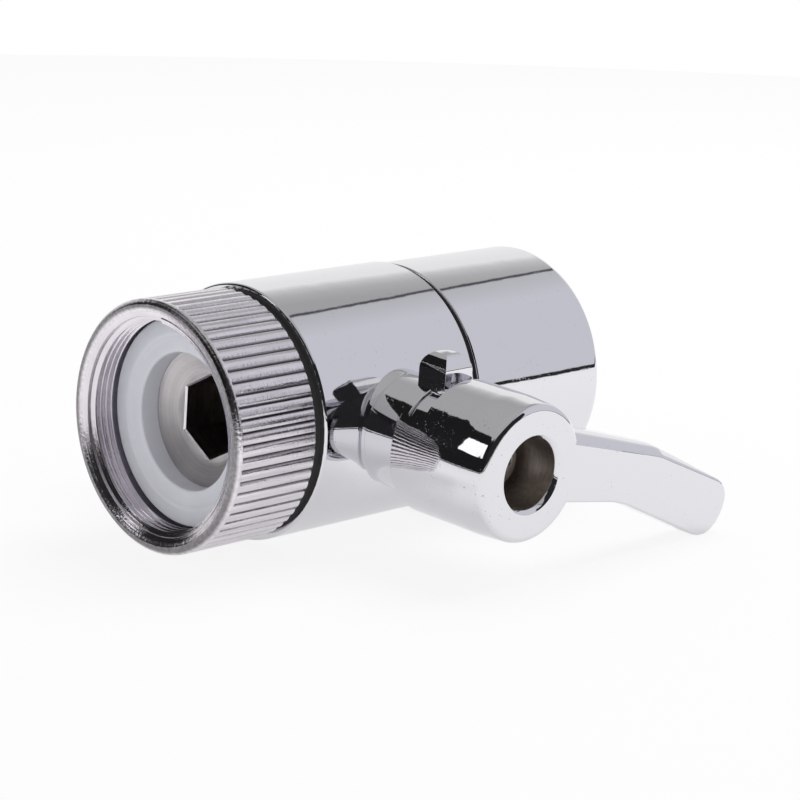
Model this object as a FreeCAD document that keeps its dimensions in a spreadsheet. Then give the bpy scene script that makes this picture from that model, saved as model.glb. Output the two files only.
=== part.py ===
import FreeCAD, Part
import math
import os
import re
import Sketcher

# Faucet diverter valve, in millimetres.
# The water axis is X, with the swivel nut at the -X end and the aerator at the +X end.
# The rotor turns about Y, with its lever at the -Y end. Z is up.
# Each piece is drawn about the crossing of the two axes, and then placed as one, so that the origin
# is on the water axis in the middle of the inlet thread.
# Lengths named "along" run from the crossing towards the lever.

SIZES = {
    # body casting
    "body_radius": 14.4,
    "body_front": 11.75,
    "body_back": 11.15,
    "body_edge": 0.5,
    "spigot_step": 2.9,
    "spigot_length": 8.0,
    "spigot_wall": 3.5,
    "outlet_chamber_start": 9.0,
    "stud_socket_depth": 5.0,
    # boss, collar and stop tab on the lever side
    "boss_root_radius": 6.5,
    "boss_root_along": 12.9,
    "neck_radius": 6.2,
    "neck_along": 14.2,
    "collar_radius": 6.5,
    "collar_start": 14.8,
    "collar_end": 20.1,
    "collar_edge": 0.2,
    "boss_tip_radius": 6.2,
    "boss_tip_length": 1.9,
    "tab_width": 4.1,
    "tab_height": 10.3,
    "tab_length": 4.0,
    # side outlet on the far side
    "side_root_radius": 8.4,
    "side_neck_radius": 7.4,
    "side_neck_length": 15.8,
    "side_thread_radius": 6.55,
    "side_thread_length": 9.2,
    "side_shoulder": 1.2,
    "side_relief": 0.9,
    "side_bore": 3.4,
    # clearances
    "running_gap": 0.05,
    "free_gap": 0.3,
    "small_edge": 0.2,
    "face_gap": 0.15,
    # swivel nut
    "nut_radius": 13.95,
    "nut_length": 11.2,
    "nut_flange": 1.9,
    "nut_wall": 2.45,
    "nut_rim_width": 1.05,
    "nut_rim_bevel": 0.45,
    "nut_rim_edge": 0.1,
    "nut_lead_in": 1.3,
    "nut_relief": 0.35,
    "knurl_depth": 0.5,
    "knurl_count": 64,
    # hollow stud and the ring and gasket that it holds
    "stud_shoulder": 2.95,
    "stud_head_gap": 0.6,
    "stud_head_length": 2.2,
    "stud_rim_width": 3.4,
    "stud_dish_depth": 1.1,
    "hexagon_inset": 0.7,
    "hexagon_relief": 0.1,
    "dish_floor_share": 0.61,
    "stud_hexagon_depth": 6.0,
    "stud_wall": 3.4,
    "gasket_thickness": 0.9,
    "gasket_width": 1.45,
    "ring_thickness": 0.8,
    "ring_inset": 0.45,
    # white inlet washer
    "washer_thickness": 2.8,
    "washer_width": 3.95,
    "washer_recess_share": 0.43,
    "washer_recess_depth": 0.35,
    # rotor
    "rotor_radius": 5.2,
    "rotor_rear": 8.9,
    "rotor_shoulder": 18.0,
    "rotor_bore": 3.1,
    "port_radius": 2.5,
    "port_along": 3.5,
    "through_port_turn": 52.0,
    "side_port_turn": 38.0,
    "seal_section": 1.1,
    "seal_groove_width": 1.3,
    "seal_rear": 7.4,
    "seal_middle": 8.6,
    "seal_front": 11.4,
    "stem_radius": 3.2,
    "stem_square": 4.5,
    "stem_square_start": 20.4,
    "stem_end": 25.2,
    "stem_screw_depth": 9.0,
    "window_half_height": 2.6,
    "window_half_length": 6.0,
    # outlet seat
    "seat_radius": 3.85,
    "seat_back": 7.6,
    # thrust washer and retaining ring
    "thrust_thickness": 0.8,
    "clip_thickness": 0.8,
    "clip_seat_depth": 0.6,
    "clip_inner_radius": 3.9,
    "clip_opening": 3.0,
    # lever hub
    "hub_radius": 7.85,
    "hub_front": 33.7,
    "hub_edge": 0.8,
    "hub_nose": 3.8,
    "hub_nose_taper": 0.23,
    "skirt_bore": 7.15,
    "skirt_depth": 2.9,
    "skirt_cut_depth": 3.25,
    "skirt_cut_start": 20.0,
    "skirt_cut_sweep": 127.0,
    "core_radius": 4.85,
    "hub_bore": 3.9,
    "hub_bore_edge": 0.45,
    "hub_web_front": 27.0,
    "square_gap": 0.05,
    # lever arm, from the rotor's axis: reach is along +X, drop is along -Z
    "arm_root_reach": 5.4,
    "arm_root_rise": 2.75,
    "arm_root_drop": 4.05,
    "arm_kink_reach": 21.3,
    "arm_kink_drop": 1.35,
    "arm_tip_reach": 34.7,
    "arm_tip_slope": 0.4291045,
    "arm_end_lean": 3.05,
    "arm_end_height": 6.3,
    "arm_heel_reach": 15.0,
    "arm_heel_drop": 5.7,
    "arm_bevel": 1.1,
    "arm_crown": 0.25,
    "arm_crown_depth": 2.4,
    "arm_thinning_start": 1.0,
    "arm_thinning_end": 2.0,
    "arm_root_thickness": 5.3,
    "arm_tip_thickness": 2.6,
    "arm_tip_round": 2.6,
    "arm_toe_round": 3.4,
    "arm_heel_round": 14.0,
    "arm_kink_round": 5.0,
    "arm_kink_lift": 0.7,
    "arm_tip_lift": 0.2,
    # lever screw and lock washer
    "screw_radius": 1.45,
    "screw_head_radius": 3.0,
    "screw_head_length": 1.5,
    "screw_length": 10.0,
    "screw_point_length": 0.5,
    "screw_point_taper": 0.4,
    "cross_width": 0.8,
    "cross_span": 3.2,
    "cross_depth": 0.9,
    "lock_radius": 2.7,
    "lock_thickness": 0.6,
    "lock_slit": 0.5,
    # outlet sleeve
    "seam_width": 0.95,
    "seam_ring_inset": 0.7,
    "sleeve_step": 0.25,
    "sleeve_length": 20.9,
    "sleeve_edge": 1.2,
    "sleeve_bore_step": 0.6,
    "sleeve_lip": 1.2,
    "sleeve_lip_margin": 0.2,
    # aerator
    "aerator_gasket_thickness": 1.0,
    "housing_flange": 0.7,
    "housing_wall": 1.2,
    "housing_ledge": 1.0,
    "dome_seat_depth": 0.5,
    "dome_thickness": 0.5,
    "dome_rise": 1.7,
    "dome_rim": 1.9,
    "diffuser_thickness": 1.4,
    "diffuser_hole": 0.55,
    "diffuser_ring_share": 0.7,
    "diffuser_holes": 12,
    "outlet_screen_thickness": 1.1,
    "outlet_screen_rim": 0.6,
    "outlet_screen_bar": 0.7,
    "outlet_screen_bars": 5,
}

# Sizes that follow from others, so that a piece keeps to the one that carries it
FOLLOWING = {
    "spigot_radius": "body_radius - spigot_step",
    "spigot_bore": "spigot_radius - spigot_wall",
    "nut_thread_bore": "nut_radius - nut_wall",
    "nut_rim_radius": "nut_radius - nut_rim_width",
    "ring_radius": "nut_radius - ring_inset",
    "stud_head_radius": "nut_thread_bore - stud_head_gap",
    "stud_radius": "stud_head_radius - stud_shoulder",
    "stud_dish_radius": "stud_head_radius - stud_rim_width",
    "stud_bore": "stud_radius - stud_wall",
    "stud_hexagon": "stud_bore * 2 - hexagon_inset",
    "gasket_bore": "stud_radius - gasket_width",
    "washer_radius": "nut_thread_bore + nut_relief - free_gap",
    "washer_bore": "washer_radius - washer_width",
    "washer_recess_radius": "washer_bore + (washer_radius - washer_bore) * washer_recess_share",
    "seam_ring_radius": "body_radius - seam_ring_inset",
    "sleeve_radius": "body_radius - sleeve_step",
    "sleeve_bore": "spigot_radius - sleeve_bore_step",
    "housing_radius": "sleeve_bore - free_gap",
    "housing_bore": "housing_radius - housing_wall",
    "housing_shelf": "housing_bore - housing_ledge",
    "screen_radius": "housing_bore - free_gap",
    "dome_radius": "screen_radius - dome_rim",
    "sleeve_lip_radius": "housing_shelf + sleeve_lip_margin",
    "arm_tip_drop": "arm_kink_drop + (arm_tip_reach - arm_kink_reach) * arm_tip_slope",
    "arm_toe_reach": "arm_tip_reach - arm_end_lean",
    "arm_toe_drop": "arm_tip_drop + arm_end_height",
}

# How far a cut or a boss runs past the face where it starts or ends
PAST = "1"

# Rounded edges are drawn in two steps, and the corner between them lies at this share of the edge
MID_EDGE = "0.3"

doc = FreeCAD.newDocument("FaucetDiverterValve")
sheet = doc.addObject("Spreadsheet::Sheet", "Sizes")
for row, (name, size) in enumerate(SIZES.items(), start=1):
    sheet.set(f"A{row}", name)
    sheet.set(f"B{row}", str(size))
    sheet.setAlias(f"B{row}", name)
doc.recompute()

NODES = []

# Places worked out from the sizes, as formulas in the sheet's names
NUT_BACK = "(body_front + ring_thickness)"
NUT_FRONT = "(body_front + ring_thickness + nut_length)"
STUD_HEAD_BACK = "(body_front + ring_thickness + nut_flange + face_gap)"
STUD_FRONT = "(body_front + ring_thickness + nut_flange + face_gap + stud_head_length)"
WASHER_FRONT = f"({STUD_FRONT} + washer_thickness)"
SOCKET_BOTTOM = "(body_front - stud_socket_depth)"
STUD_END = "(body_front - stud_socket_depth + gasket_thickness)"
BORE_RADIUS = "(rotor_radius + running_gap)"
BOSS_END = "(collar_end + boss_tip_length)"
THRUST_FRONT = "(rotor_shoulder + thrust_thickness)"
CLIP_FRONT = "(rotor_shoulder + thrust_thickness + clip_thickness)"
HUB_BACK = "(collar_end + face_gap)"
LOCK_FRONT = "(hub_web_front + lock_thickness)"
SPIGOT_END = "(body_back + spigot_length)"
SLEEVE_START = "(body_back + seam_width)"
SLEEVE_END = "(body_back + seam_width + sleeve_length)"
HOUSING_START = "(body_back + spigot_length + aerator_gasket_thickness)"
HOUSING_END = "(body_back + seam_width + sleeve_length - sleeve_lip)"
SCREEN_SHELF = f"({HOUSING_END} - outlet_screen_thickness)"
INLET_MIDDLE = f"(({NUT_FRONT} - nut_lead_in + {WASHER_FRONT}) / 2)"
DIFFUSER_SHELF = f"({HOUSING_START} + dome_seat_depth + dome_thickness + diffuser_thickness)"


def bound(text):
    """A formula in the names of sizes, as FreeCAD reads it."""
    def cell(match):
        name = match[0]
        if name in FOLLOWING:
            return f"({bound(FOLLOWING[name])})"
        return "Sizes." + name if name in SIZES else name

    return re.sub(r"[a-z][a-z_]+", cell, str(text))


probe = doc.addObject("App::FeaturePython", "Probe")


def number(text):
    """The present value of a formula."""
    return float(probe.evalExpression(bound(text)))


def origin_feature(body, role):
    return next(feature for feature in body.Origin.OriginFeatures if feature.Role == role)


def new_body(label):
    """A sub-part, placed with the whole valve."""
    body = doc.addObject("PartDesign::Body", label)
    body.Label = label
    body.setExpression("Placement.Base.x", bound(INLET_MIDDLE))
    NODES.append(body)
    return body


def new_sketch(body, name, role, offset="0"):
    """A sketch on one of the body's own origin planes, moved along the plane's normal."""
    sketch = body.newObject("Sketcher::SketchObject", f"{body.Label}_{name}")
    sketch.AttachmentSupport = (origin_feature(body, role), "")
    sketch.MapMode = "FlatFace"
    sketch.setExpression("AttachmentOffset.Base.z", bound(offset))
    return sketch


def fix(sketch, kind, places, text):
    index = sketch.addConstraint(Sketcher.Constraint(kind, *places, number(text)))
    sketch.setExpression(f"Constraints[{index}]", bound(text))


def fix_point(sketch, geometry, point, corner):
    """Tie a point of the sketch to two formulas."""
    for kind, axis, text in (("DistanceX", -2, corner[0]), ("DistanceY", -1, corner[1])):
        if str(text) == "0":
            sketch.addConstraint(Sketcher.Constraint("PointOnObject", geometry, point, axis))
        else:
            fix(sketch, kind, (-1, 1, geometry, point), text)


def draw_outline(sketch, corners):
    """A closed outline of straight lines through corners given as formulas."""
    spots = [FreeCAD.Vector(number(x), number(y), 0) for x, y in corners]
    first = sketch.GeometryCount
    count = len(corners)
    for index in range(count):
        sketch.addGeometry(Part.LineSegment(spots[index], spots[(index + 1) % count]), False)
    for index in range(count):
        following = first + (index + 1) % count
        sketch.addConstraint(Sketcher.Constraint("Coincident", first + index, 2, following, 1))
    for index, corner in enumerate(corners):
        fix_point(sketch, first + index, 1, corner)


def draw_circle(sketch, centre, radius):
    middle = FreeCAD.Vector(number(centre[0]), number(centre[1]), 0)
    circle = sketch.addGeometry(Part.Circle(middle, FreeCAD.Vector(0, 0, 1), number(radius)), False)
    fix_point(sketch, circle, 3, centre)
    fix(sketch, "Radius", (circle,), radius)


def spin(body, name, axis, corners, cut=False):
    """Turn an outline about the X axis, or about the Y axis with its lengths towards the lever."""
    sketch = new_sketch(body, name, "XY_Plane")
    if axis == "X":
        draw_outline(sketch, corners)
    else:
        draw_outline(sketch, [(radius, f"-({along})") for along, radius in corners])
    kind = "PartDesign::Groove" if cut else "PartDesign::Revolution"
    feature = body.newObject(kind, f"{body.Label}_{name}_turned")
    feature.Profile = sketch
    feature.ReferenceAxis = (sketch, ["H_Axis" if axis == "X" else "V_Axis"])
    feature.Angle = 360
    return feature


def turned(label, axis, corners):
    body = new_body(label)
    spin(body, "profile", axis, corners)
    return body


def pad(body, sketch, length, flipped=False):
    feature = body.newObject("PartDesign::Pad", f"{sketch.Name}_pad")
    feature.Profile = sketch
    feature.setExpression("Length", bound(length))
    feature.Reversed = flipped
    return feature


def pocket(body, sketch, length, flipped=False):
    """Cut against the sketch's normal, or along it when flipped, and make sure that it cuts."""
    doc.recompute()
    before = body.Shape.Volume
    feature = body.newObject("PartDesign::Pocket", f"{sketch.Name}_pocket")
    feature.Profile = sketch
    feature.setExpression("Length", bound(length))
    feature.Reversed = flipped
    doc.recompute()
    if body.Shape.Volume >= before:
        raise RuntimeError(f"{feature.Name} cuts nothing")
    return feature


def repeat_around_x(body, feature, count):
    pattern = body.newObject("PartDesign::PolarPattern", f"{feature.Name}_pattern")
    pattern.Originals = [feature]
    pattern.Axis = (origin_feature(body, "X_Axis"), [""])
    pattern.Angle = 360
    pattern.setExpression("Occurrences", bound(count))
    body.Tip = pattern
    return pattern


def ring(label, axis, start, end, inner, outer):
    """A flat ring between two places on an axis."""
    return turned(label, axis, [(start, inner), (start, outer), (end, outer), (end, inner)])


# Body casting

def make_valve_body():
    body = turned("valve_body", "X", [
        (f"-{SOCKET_BOTTOM}", "0"),
        (f"-{SOCKET_BOTTOM}", "stud_radius + running_gap"),
        ("-body_front", "stud_radius + running_gap"),
        ("-body_front", "body_radius - body_edge"),
        (f"-body_front + body_edge * {MID_EDGE}", f"body_radius - body_edge * {MID_EDGE}"),
        ("-body_front + body_edge", "body_radius"),
        ("body_back - body_edge / 5", "body_radius"),
        ("body_back", "body_radius - body_edge / 5"),
        ("body_back", "spigot_radius"),
        (SPIGOT_END, "spigot_radius"),
        (SPIGOT_END, "spigot_bore"),
        ("outlet_chamber_start", "spigot_bore"),
        ("outlet_chamber_start", "0"),
    ])
    root = f"stud_radius + {PAST}"
    spin(body, "boss", "Y", [
        (root, "0"),
        (root, "boss_root_radius"),
        ("boss_root_along", "boss_root_radius"),
        ("(boss_root_along + neck_along) / 2", "neck_radius + (boss_root_radius - neck_radius) / 4"),
        ("neck_along", "neck_radius"),
        ("collar_start", "neck_radius"),
        ("collar_start", "collar_radius - collar_edge"),
        ("collar_start + collar_edge", "collar_radius"),
        ("collar_end - collar_edge", "collar_radius"),
        ("collar_end", "collar_radius - collar_edge"),
        ("collar_end", "boss_tip_radius"),
        (BOSS_END, "boss_tip_radius"),
        (BOSS_END, "0"),
    ])
    side_end = "side_neck_length + side_thread_length"
    spin(body, "side_outlet", "Y", [
        (f"-({root})", "0"),
        (f"-({root})", "side_root_radius"),
        ("-(side_neck_length - side_shoulder * 2)", "side_root_radius"),
        ("-(side_neck_length - side_shoulder)", "side_neck_radius"),
        ("-side_neck_length", "side_neck_radius"),
        ("-side_neck_length", "side_thread_radius - side_relief"),
        ("-(side_neck_length + side_relief)", "side_thread_radius - side_relief"),
        ("-(side_neck_length + side_relief * 2)", "side_thread_radius"),
        (f"-({side_end} - side_relief)", "side_thread_radius"),
        (f"-({side_end})", "side_thread_radius - side_relief"),
        (f"-({side_end})", "0"),
    ])
    make_stop_tab(body)
    spin(body, "cross_bore", "Y", [
        (f"{BOSS_END} + {PAST}", "0"),
        (f"{BOSS_END} + {PAST}", BORE_RADIUS),
        (CLIP_FRONT, BORE_RADIUS),
        (CLIP_FRONT, f"{BORE_RADIUS} + clip_seat_depth"),
        (THRUST_FRONT, f"{BORE_RADIUS} + clip_seat_depth"),
        (THRUST_FRONT, BORE_RADIUS),
        ("-(rotor_rear + face_gap)", BORE_RADIUS),
        ("-(rotor_rear + face_gap)", "side_bore"),
        (f"-({side_end} + {PAST})", "side_bore"),
        (f"-({side_end} + {PAST})", "0"),
    ], cut=True)
    window = new_sketch(body, "inlet_window", "YZ_Plane")
    draw_outline(window, [
        ("-window_half_length", "-window_half_height"),
        ("window_half_length", "-window_half_height"),
        ("window_half_length", "window_half_height"),
        ("-window_half_length", "window_half_height"),
    ])
    pocket(body, window, f"{SOCKET_BOTTOM} + {PAST}")
    seat = new_sketch(body, "seat_pocket", "YZ_Plane")
    draw_circle(seat, ("-port_along", "0"), "seat_radius + running_gap")
    pocket(body, seat, "seat_back", flipped=True)
    window = new_sketch(body, "outlet_window", "YZ_Plane")
    draw_circle(window, ("-port_along", "0"), "port_radius")
    pocket(body, window, f"outlet_chamber_start + {PAST}", flipped=True)


def make_stop_tab(body):
    """A lug with a round top that stands on the collar and stops the lever at both ends of its throw."""
    sketch = new_sketch(body, "stop_tab", "XZ_Plane", f"{BOSS_END} - tab_length")
    half = "tab_width / 2"
    shoulder = "tab_height - tab_width / 2"
    foot = f"boss_tip_radius - {PAST}"
    left, right, up, down = -number(half), number(half), number(shoulder), number(foot)
    sketch.addGeometry(Part.LineSegment(FreeCAD.Vector(left, up, 0), FreeCAD.Vector(left, down, 0)), False)
    sketch.addGeometry(Part.LineSegment(FreeCAD.Vector(left, down, 0), FreeCAD.Vector(right, down, 0)), False)
    sketch.addGeometry(Part.LineSegment(FreeCAD.Vector(right, down, 0), FreeCAD.Vector(right, up, 0)), False)
    top = Part.Circle(FreeCAD.Vector(0, up, 0), FreeCAD.Vector(0, 0, 1), right)
    sketch.addGeometry(Part.ArcOfCircle(top, 0, math.pi), False)
    sketch.addConstraint(Sketcher.Constraint("Coincident", 0, 2, 1, 1))
    sketch.addConstraint(Sketcher.Constraint("Coincident", 1, 2, 2, 1))
    sketch.addConstraint(Sketcher.Constraint("Coincident", 2, 2, 3, 1))
    sketch.addConstraint(Sketcher.Constraint("Coincident", 3, 2, 0, 1))
    fix_point(sketch, 0, 2, (f"-{half}", foot))
    fix_point(sketch, 1, 2, (half, foot))
    fix_point(sketch, 3, 1, (half, shoulder))
    fix_point(sketch, 3, 2, (f"-{half}", shoulder))
    fix(sketch, "DistanceY", (-1, 1, 3, 3), shoulder)
    pad(body, sketch, "tab_length")


# Inlet end

def make_swivel_nut():
    body = turned("inlet_swivel_nut", "X", [
        (f"-{NUT_FRONT}", "nut_rim_radius + nut_rim_edge"),
        (f"-{NUT_FRONT}", "nut_radius - nut_rim_bevel"),
        (f"-{NUT_FRONT} + nut_rim_bevel", "nut_radius"),
        (f"-{NUT_BACK} - nut_rim_bevel / 2", "nut_radius"),
        (f"-{NUT_BACK}", "nut_radius - nut_rim_bevel / 2"),
        (f"-{NUT_BACK}", "stud_radius + free_gap"),
        (f"-{NUT_BACK} - nut_flange", "stud_radius + free_gap"),
        (f"-{NUT_BACK} - nut_flange", "nut_thread_bore + nut_relief"),
        (f"-{WASHER_FRONT}", "nut_thread_bore + nut_relief"),
        (f"-{WASHER_FRONT}", "nut_thread_bore"),
        (f"-{NUT_FRONT} + nut_lead_in", "nut_thread_bore"),
        (f"-{NUT_FRONT} + nut_rim_bevel", "nut_rim_radius - nut_rim_edge"),
    ])
    sketch = new_sketch(body, "knurl", "YZ_Plane", f"-{NUT_BACK}")
    draw_outline(sketch, [
        ("0", "nut_radius - knurl_depth"),
        ("knurl_depth * 0.9", "nut_radius + 0.1"),
        ("-knurl_depth * 0.9", "nut_radius + 0.1"),
    ])
    groove = pocket(body, sketch, "nut_length - nut_rim_bevel * 2")
    repeat_around_x(body, groove, "knurl_count")


def make_inlet_stud():
    body = turned("inlet_stud", "X", [
        (f"-{STUD_FRONT} + stud_dish_depth", "0"),
        (f"-{STUD_FRONT} + stud_dish_depth", "stud_hexagon * dish_floor_share"),
        (f"-{STUD_FRONT}", "stud_dish_radius"),
        (f"-{STUD_FRONT}", "stud_head_radius - small_edge"),
        (f"-{STUD_FRONT} + small_edge", "stud_head_radius"),
        (f"-{STUD_HEAD_BACK}", "stud_head_radius"),
        (f"-{STUD_HEAD_BACK}", "stud_radius"),
        (f"-{STUD_END}", "stud_radius"),
        (f"-{STUD_END}", "stud_bore"),
        (f"-{STUD_FRONT} + stud_dish_depth + stud_hexagon_depth", "stud_bore"),
        (f"-{STUD_FRONT} + stud_dish_depth + stud_hexagon_depth", "0"),
    ])
    # The socket's corners point up and down
    sketch = new_sketch(body, "hexagon", "YZ_Plane", f"-{STUD_FRONT}")
    flat = "stud_hexagon / 2"
    low = "stud_hexagon / 2 / sqrt(3)"
    high = "stud_hexagon / sqrt(3)"
    draw_outline(sketch, [
        ("0", high), (flat, low), (flat, f"-{low}"),
        ("0", f"-({high})"), (f"-{flat}", f"-{low}"), (f"-{flat}", low),
    ])
    pocket(body, sketch, "stud_dish_depth + stud_hexagon_depth + hexagon_relief", flipped=True)


def make_inlet_washer():
    turned("inlet_washer", "X", [
        (f"-{WASHER_FRONT}", "washer_recess_radius + washer_recess_depth / 2"),
        (f"-{WASHER_FRONT}", "washer_radius"),
        (f"-{STUD_FRONT}", "washer_radius"),
        (f"-{STUD_FRONT}", "washer_bore"),
        (f"-{WASHER_FRONT} + washer_recess_depth", "washer_bore"),
        (f"-{WASHER_FRONT} + washer_recess_depth", "washer_recess_radius"),
    ])


# Rotor and its seals

def make_rotor_plug():
    groove_floor = "rotor_radius - seal_section"
    half = "seal_groove_width / 2"
    corners = [("-rotor_rear", "rotor_bore"), ("-rotor_rear", "rotor_radius")]
    for place in ("-seal_rear", "seal_middle", "seal_front"):
        corners += [
            (f"{place} - {half}", "rotor_radius"),
            (f"{place} - {half}", groove_floor),
            (f"{place} + {half}", groove_floor),
            (f"{place} + {half}", "rotor_radius"),
        ]
    corners += [
        ("rotor_shoulder", "rotor_radius"),
        ("rotor_shoulder", "stem_radius"),
        ("stem_square_start", "stem_radius"),
        ("stem_square_start", "screw_radius + running_gap"),
        ("stem_end - stem_screw_depth", "screw_radius + running_gap"),
        ("stem_end - stem_screw_depth", "0"),
        ("-port_along + port_radius", "0"),
        ("-port_along + port_radius", "rotor_bore"),
    ]
    body = turned("rotor_plug", "Y", corners)
    square = new_sketch(body, "square", "XZ_Plane", "stem_square_start")
    half = "stem_square / 2"
    draw_outline(square, [(f"-{half}", f"-{half}"), (half, f"-{half}"), (half, half), (f"-{half}", half)])
    draw_circle(square, ("0", "0"), "screw_radius + running_gap")
    pad(body, square, "stem_end - stem_square_start")
    through = port_sketch(body, "through_port", "port_along", "through_port_turn")
    pocket(body, through, f"rotor_radius + {PAST}")
    pocket(body, through, f"rotor_radius + {PAST}", flipped=True)
    side = port_sketch(body, "side_port", "-port_along", "-side_port_turn")
    pocket(body, side, f"rotor_radius + {PAST}")


def port_sketch(body, name, along, turn):
    """A circle at a place along the plug, on a plane turned about the plug's axis."""
    sketch = new_sketch(body, name, "YZ_Plane")
    draw_circle(sketch, (f"-({along})", "0"), "port_radius - running_gap")
    about_x = FreeCAD.Rotation(FreeCAD.Vector(1, 0, 0), 1)
    sketch.AttachmentOffset = FreeCAD.Placement(FreeCAD.Vector(), about_x)
    sketch.setExpression("AttachmentOffset.Rotation.Angle", f"({bound(turn)}) * 1deg")
    return sketch


def make_seal_ring(label, along):
    """A round-section ring in one of the plug's grooves."""
    body = new_body(label)
    sketch = new_sketch(body, "section", "XY_Plane")
    draw_circle(sketch, ("rotor_radius - seal_section / 2", f"-({along})"), "seal_section / 2")
    feature = body.newObject("PartDesign::Revolution", f"{label}_turned")
    feature.Profile = sketch
    feature.ReferenceAxis = (sketch, ["V_Axis"])
    feature.Angle = 360


def make_outlet_seat():
    """A rubber seat round the outlet window, hollowed to the plug's own curve."""
    body = new_body("outlet_seat")
    sketch = new_sketch(body, "outline", "YZ_Plane", "rotor_radius / 2")
    draw_circle(sketch, ("-port_along", "0"), "seat_radius")
    draw_circle(sketch, ("-port_along", "0"), "port_radius")
    pad(body, sketch, "seat_back - rotor_radius / 2")
    span = f"seat_radius + {PAST}"
    spin(body, "plug_curve", "Y", [
        (f"port_along - ({span})", "0"),
        (f"port_along - ({span})", BORE_RADIUS),
        (f"port_along + {span}", BORE_RADIUS),
        (f"port_along + {span}", "0"),
    ], cut=True)


def make_retaining_ring():
    """An open ring sprung into the groove in the boss."""
    body = ring("retaining_ring", "Y", THRUST_FRONT, CLIP_FRONT, "clip_inner_radius",
                f"{BORE_RADIUS} + clip_seat_depth - running_gap")
    sketch = new_sketch(body, "opening", "XZ_Plane", CLIP_FRONT)
    half = "clip_opening / 2"
    outside = f"rotor_radius + clip_seat_depth + {PAST}"
    draw_outline(sketch, [
        (f"-{half}", f"-({outside})"), (half, f"-({outside})"), (half, "0"), (f"-{half}", "0"),
    ])
    pocket(body, sketch, "clip_thickness")


# Lever

def make_lever_handle():
    body = new_body("lever_handle")
    make_arm(body)
    spin(body, "hub", "Y", [
        (HUB_BACK, "skirt_bore"),
        (HUB_BACK, "hub_radius"),
        ("hub_front - hub_nose", "hub_radius"),
        ("hub_front - hub_edge", "hub_radius - hub_nose_taper"),
        (f"hub_front - hub_edge * {MID_EDGE}", f"hub_radius - hub_nose_taper - hub_edge * {MID_EDGE}"),
        ("hub_front", "hub_radius - hub_nose_taper - hub_edge"),
        ("hub_front", "0"),
        ("hub_web_front", "0"),
        (HUB_BACK + " + free_gap", "0"),
        (HUB_BACK + " + free_gap", "core_radius"),
        (HUB_BACK + " + skirt_depth", "core_radius"),
        (HUB_BACK + " + skirt_depth", "skirt_bore"),
    ])
    spin(body, "hub_bore", "Y", [
        (f"hub_front + {PAST}", "0"),
        (f"hub_front + {PAST}", f"hub_bore + hub_bore_edge + {PAST}"),
        ("hub_front - hub_bore_edge", "hub_bore"),
        ("hub_web_front", "hub_bore"),
        ("hub_web_front", "screw_radius + free_gap"),
        ("stem_end", "screw_radius + free_gap"),
        ("stem_end", "0"),
    ], cut=True)
    square = new_sketch(body, "square", "XZ_Plane", "stem_end + face_gap")
    half = "(stem_square / 2 + square_gap)"
    draw_outline(square, [(f"-{half}", f"-{half}"), (half, f"-{half}"), (half, half), (f"-{half}", half)])
    pocket(body, square, "stem_end - collar_end")
    cut_skirt(body)


def cut_skirt(body):
    """The part of the skirt that is cut away, so that the stop tab can stand in it."""
    sketch = new_sketch(body, "skirt_cut", "XZ_Plane", HUB_BACK + " + skirt_cut_depth")
    steps = 6
    turns = [f"((skirt_cut_start + skirt_cut_sweep * {step} / {steps}) * 1deg)" for step in range(steps + 1)]
    inner = "(core_radius + skirt_bore) / 2"
    outer = f"hub_radius + {PAST}"
    corners = [(f"({inner}) * cos{turn}", f"({inner}) * sin{turn}") for turn in turns]
    corners += [(f"({outer}) * cos{turn}", f"({outer}) * sin{turn}") for turn in reversed(turns)]
    draw_outline(sketch, corners)
    pocket(body, sketch, f"skirt_cut_depth + {PAST}")


def arm_outline(sketch, rise):
    """The arm seen from the front, with its top edge raised by an amount."""
    draw_outline(sketch, [
        ("arm_root_reach", f"arm_root_rise + {rise}"),
        ("arm_root_reach", "-arm_root_drop"),
        ("arm_heel_reach", "-arm_heel_drop"),
        ("arm_toe_reach", "-arm_toe_drop"),
        ("arm_tip_reach", f"-arm_tip_drop + {rise} * arm_tip_lift"),
        ("arm_kink_reach", f"-arm_kink_drop + {rise} * arm_kink_lift"),
    ])


def make_arm(body):
    """A flat arm with a bevelled, crowned upper edge, a rounded end and a back that thins towards it."""
    top = "(arm_bevel + arm_crown)"
    sections = []
    for name, depth, rise in (("front", "0", "0"), ("bevel", "arm_bevel", "arm_bevel"),
                              ("crown", "arm_crown_depth", top), ("back", "arm_root_thickness", top)):
        section = new_sketch(body, f"arm_{name}", "XZ_Plane", f"hub_front - {depth}")
        arm_outline(section, rise)
        sections.append(section)
    loft = body.newObject("PartDesign::AdditiveLoft", "lever_handle_arm")
    loft.Profile = sections[0]
    loft.Sections = sections[1:]
    loft.Ruled = True
    doc.recompute()
    rounding = body.newObject("PartDesign::Boolean", "lever_handle_arm_rounding")
    rounding.setObjects([make_arm_envelope(top)])
    rounding.Type = "Common"
    thinning = new_sketch(body, "arm_thinning", "XY_Plane", f"-(arm_toe_drop + {PAST})")
    start = "hub_radius + arm_thinning_start"
    end = "arm_tip_reach + arm_thinning_end"
    behind = f"-(hub_front - arm_root_thickness - {PAST})"
    draw_outline(thinning, [
        (start, "-(hub_front - arm_root_thickness)"), (end, "-(hub_front - arm_tip_thickness)"),
        (end, behind), (start, behind),
    ])
    pocket(body, thinning, f"arm_toe_drop + arm_root_rise + {top} + {PAST} * 2", flipped=True)


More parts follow.
